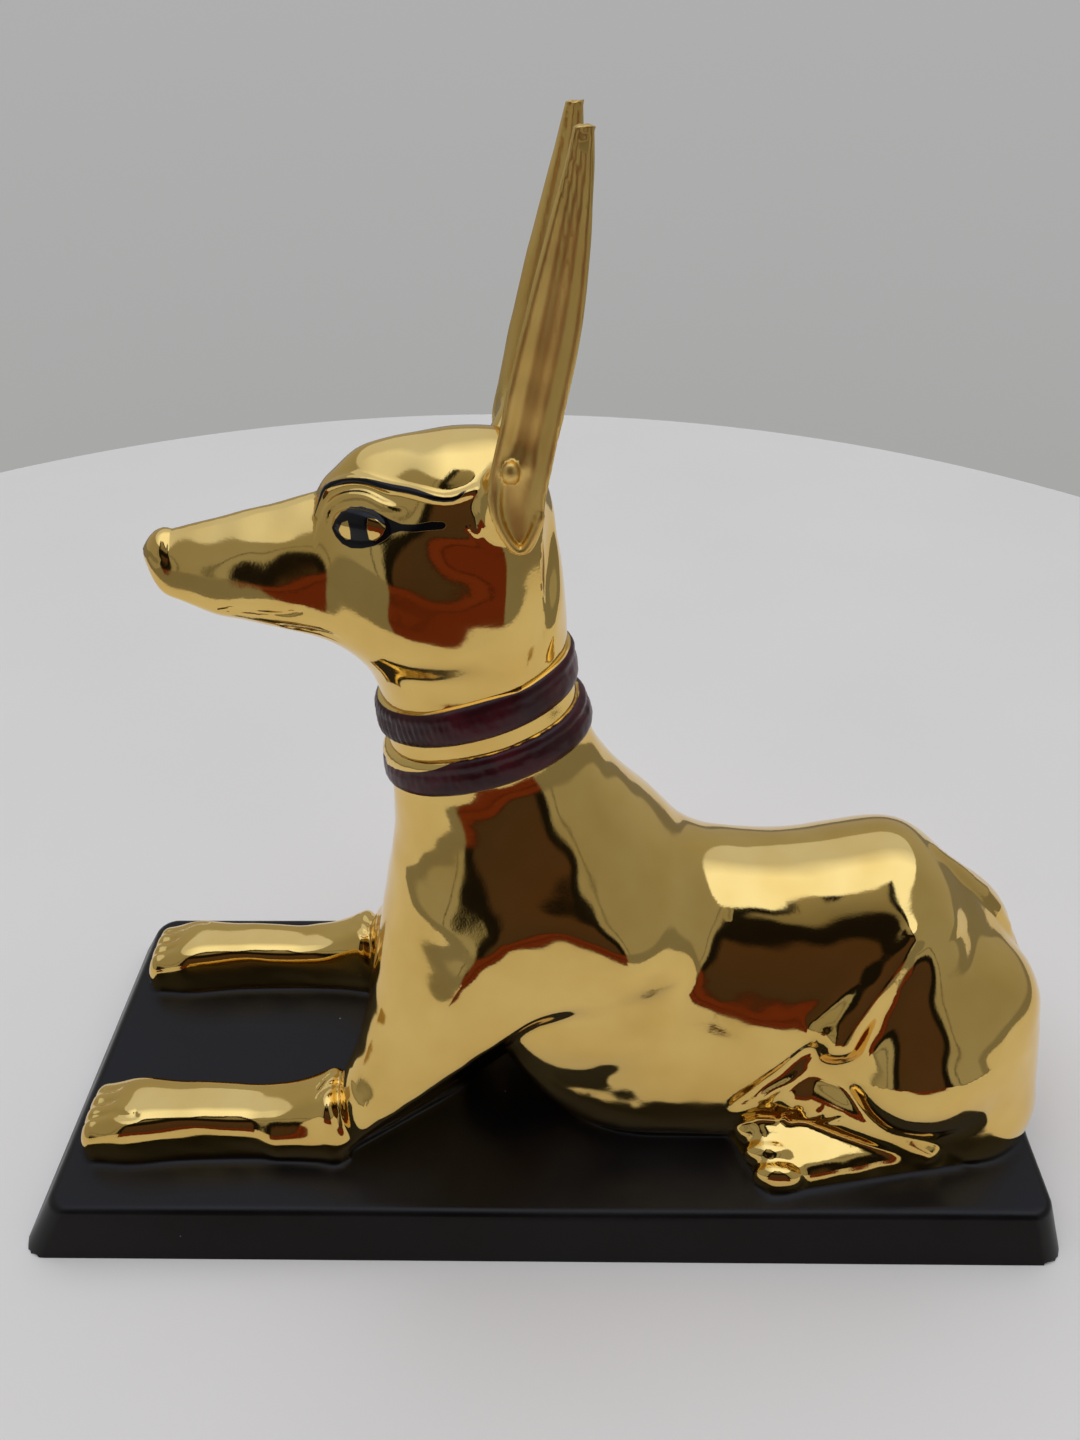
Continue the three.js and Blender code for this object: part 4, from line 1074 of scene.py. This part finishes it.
def tableMaterial():
    material, tree, shader, position = startMaterial("paleTop")
    do = partial(calc, tree)
    noise = addNode(tree, "ShaderNodeTexNoise", {
        "Vector": position, "Scale": table["mottle"], "Detail": 3.0}).outputs[0]
    shade = between(tree, noise, 0.3, 0.7, first=table["mottleDepth"])
    setInputs(tree, shader, {
        "Base Color": mixColour(tree, 1.0, table["colour"], shade, "MULTIPLY"),
        "Roughness": table["roughness"]})

    # Only mirrored rays read this: they pass through to the dark room beyond the near edge, and along that
    # edge they meet painted shade, a dark glow that stands for the table's shaded rim
    incoming = addNode(tree, "ShaderNodeNewGeometry").outputs["Incoming"]
    x, y, z = addNode(tree, "ShaderNodeSeparateXYZ", {0: incoming}).outputs
    below = do("MULTIPLY", do("ARCSINE", z), degrees)
    aside = do("MULTIPLY", do("ARCTAN2", x, y), degrees)
    toFront = do("LESS_THAN", do("ABSOLUTE", aside), table["openHalf"])
    inGold = do("MULTIPLY", toFront, addNode(tree, "ShaderNodeLightPath").outputs["Is Glossy Ray"])
    inRimShade = do("MULTIPLY", inGold, do("LESS_THAN", below, table["openAbove"] + table["rim"]))
    beyond = do("MULTIPLY", inGold, do("LESS_THAN", below, table["openAbove"]))
    # Painted shade: a dark glow for the shaded edge of the table, seen in the gold alone
    rim = addNode(tree, "ShaderNodeEmission", {"Color": table["paintedRimShade"]})
    edged = addNode(tree, "ShaderNodeMixShader", {0: inRimShade, 1: shader.outputs[0], 2: rim.outputs[0]})
    clear = addNode(tree, "ShaderNodeBsdfTransparent")
    opened = addNode(tree, "ShaderNodeMixShader", {0: beyond, 1: edged.outputs[0], 2: clear.outputs[0]})
    setInputs(tree, tree.nodes["Material Output"], {"Surface": opened.outputs[0]})
    return material


def makeTable():
    work = bmesh.new()
    bmesh.ops.create_circle(work, cap_ends=True, radius=table["radius"], segments=table["sides"])
    bmesh.ops.translate(work, verts=work.verts, vec=(*table["middle"], 0))
    mesh = bpy.data.meshes.new("table_top")
    work.to_mesh(mesh)
    work.free()
    mesh.materials.append(tableMaterial())
    addObject("table_top", mesh)


makeTable()

room = {
    # Degrees above eye level, or to the side of the front, unless a note says otherwise
    "wall": (0.30, 0.30, 0.295), "backWall": (0.36, 0.36, 0.355), "backFrom": (-0.2, 0.6),  # from y to y
    "below": (0.2, 0.2, 0.2), "belowSoft": 1.5, "eyeLevel": -2,
    "backdropTop": 46, "backLower": 7.0, "soft": 1.2, "ceiling": (1.25, 1.25, 1.28),
    "ceilingInGold": (1.12, 1.24, 1.6), "ceilingBeyond": (0.62, 0.68, 0.9),
    "beyondBack": (-0.05, 0.3), "beyondLeft": (-0.2, -0.65),  # from y to y, and from x to x
    "line": 7.0, "lineHalf": 0.45, "lineSoft": 0.3, "lineFoot": 1.0, "lineColour": (0.05, 0.048, 0.045),
    "cardTop": 62, "cardSoft": 1.5, "cardRim": 8, "rimSoft": 2.0, "rimFrom": -3,
    "dark": (0.008, 0.007, 0.007), "cardFrom": -30, "cardTo": 70, "widest": 40.0,
    "cardHalf": [(-25, 26), (-10, 32), (0, 34), (30, 32), (45, 26), (60, 18)],
    "cardColour": [
        (-30, (0.11, 0.024, 0.012)), (-9.6, (0.12, 0.025, 0.013)), (-8.9, (0.03, 0.009, 0.006)),
        (-8.2, (0.13, 0.029, 0.015)), (-4, (0.13, 0.029, 0.015)), (-3.4, (0.02, 0.01, 0.008)),
        (-2.4, (0.055, 0.036, 0.028)), (24, (0.07, 0.04, 0.028)), (28, (0.008, 0.007, 0.007)),
        (40, (0.01, 0.008, 0.008)), (44, (0.2, 0.19, 0.17)), (60, (0.3, 0.29, 0.27))],
    "seen": [(0.385, 0.388, 0.380), (0.43, 0.43, 0.43)], "seenFrom": -22,
}


def makeRoom():
    world = bpy.data.worlds.new("room")
    bpy.context.scene.world = world
    world.use_nodes = True
    tree = world.node_tree
    do = partial(calc, tree)
    direction = addNode(tree, "ShaderNodeTexCoord").outputs["Generated"]
    x, y, z = addNode(tree, "ShaderNodeSeparateXYZ", {0: direction}).outputs
    ray = addNode(tree, "ShaderNodeLightPath").outputs
    height = do("MULTIPLY", do("ARCSINE", z), degrees)
    aside = do("MULTIPLY", do("ARCTAN2", x, do("MULTIPLY", y, -1.0)), degrees)

    def over(value, at, soft):
        return between(tree, value, at - soft, at + soft, "SMOOTHSTEP")

    def under(value, at, soft):
        return do("SUBTRACT", 1.0, over(value, at, soft))

    # Walls, darker below eye level, and a bright ceiling that starts lower at the back
    rear = between(tree, y, *room["backFrom"])
    walls = mixColour(tree, rear, room["wall"], room["backWall"])
    walls = mixColour(tree, over(height, room["eyeLevel"], room["belowSoft"]), room["below"], walls)
    behind, left = between(tree, y, *room["beyondBack"]), between(tree, x, *room["beyondLeft"])
    beyond = do("ADD", behind, left, clamp=True)
    overhead = mixColour(tree, beyond, room["ceilingInGold"], room["ceilingBeyond"])
    ceiling = mixColour(tree, ray["Is Glossy Ray"], room["ceiling"], overhead)
    lower = do("MULTIPLY_ADD", rear, room["backLower"], height)

    # The card in front: bands of colour, as wide at each height as "cardHalf" says, and a thin line round it
    start, end, widest = room["cardFrom"], room["cardTo"], room["widest"]
    share = between(tree, height, start, end)

    def bands(rows):
        return rampOf(tree, share, [((degree - start) / (end - start), colour) for degree, colour in rows])

    card = bands(room["cardColour"])
    half = bands([(degree, (wide / widest,) * 3) for degree, wide in room["cardHalf"]])
    past = do("SUBTRACT", do("ABSOLUTE", aside), do("MULTIPLY", half, widest))
    gap = do("ABSOLUTE", do("SUBTRACT", past, room["line"]))
    line = do("MULTIPLY", under(gap, room["lineHalf"], room["lineSoft"]),
              over(height, room["eyeLevel"], room["lineFoot"]))
    walls = mixColour(tree, line, walls, room["lineColour"])
    sky = mixColour(tree, over(lower, room["backdropTop"], room["soft"]), walls, ceiling)
    soft = room["cardSoft"]
    inCard = do("MULTIPLY", under(past, 0, soft), under(height, room["cardTop"], soft))
    rim = do("MULTIPLY", over(past, -room["cardRim"], room["rimSoft"]),
             over(height, room["rimFrom"], room["rimSoft"]))
    lit = mixColour(tree, inCard, sky, mixColour(tree, rim, card, room["dark"]))

    # The plain grey that stands behind the table
    seen = mixColour(tree, between(tree, height, room["seenFrom"], 0), *room["seen"])
    setInputs(tree, tree.nodes["Background"], {"Color": mixColour(tree, ray["Is Camera Ray"], lit, seen)})


makeRoom()

camera = {
    "place": (0.0074, -0.1338, 0.1697), "turn": -2.33, "down": 34.47, "roll": -1.78,
    "focal": 28.75, "sensor": 36, "nearest": 0.01,
}


def makeCamera():
    turn, down, roll = (math.radians(camera[key]) for key in ("turn", "down", "roll"))
    data = bpy.data.cameras.new("camera")
    data.lens = camera["focal"]
    data.sensor_width = camera["sensor"]
    data.sensor_fit = "AUTO"
    data.clip_start = camera["nearest"]
    view = addObject("camera", data)
    view.matrix_world = (
        Matrix.Translation(camera["place"]) @ Matrix.Rotation(-turn, 4, "Z")
        @ Matrix.Rotation(math.pi / 2 - down, 4, "X") @ Matrix.Rotation(roll, 4, "Z"))
    bpy.context.scene.camera = view


makeCamera()
bpy.context.scene.view_settings.view_transform = "Standard"
print("stage ready")
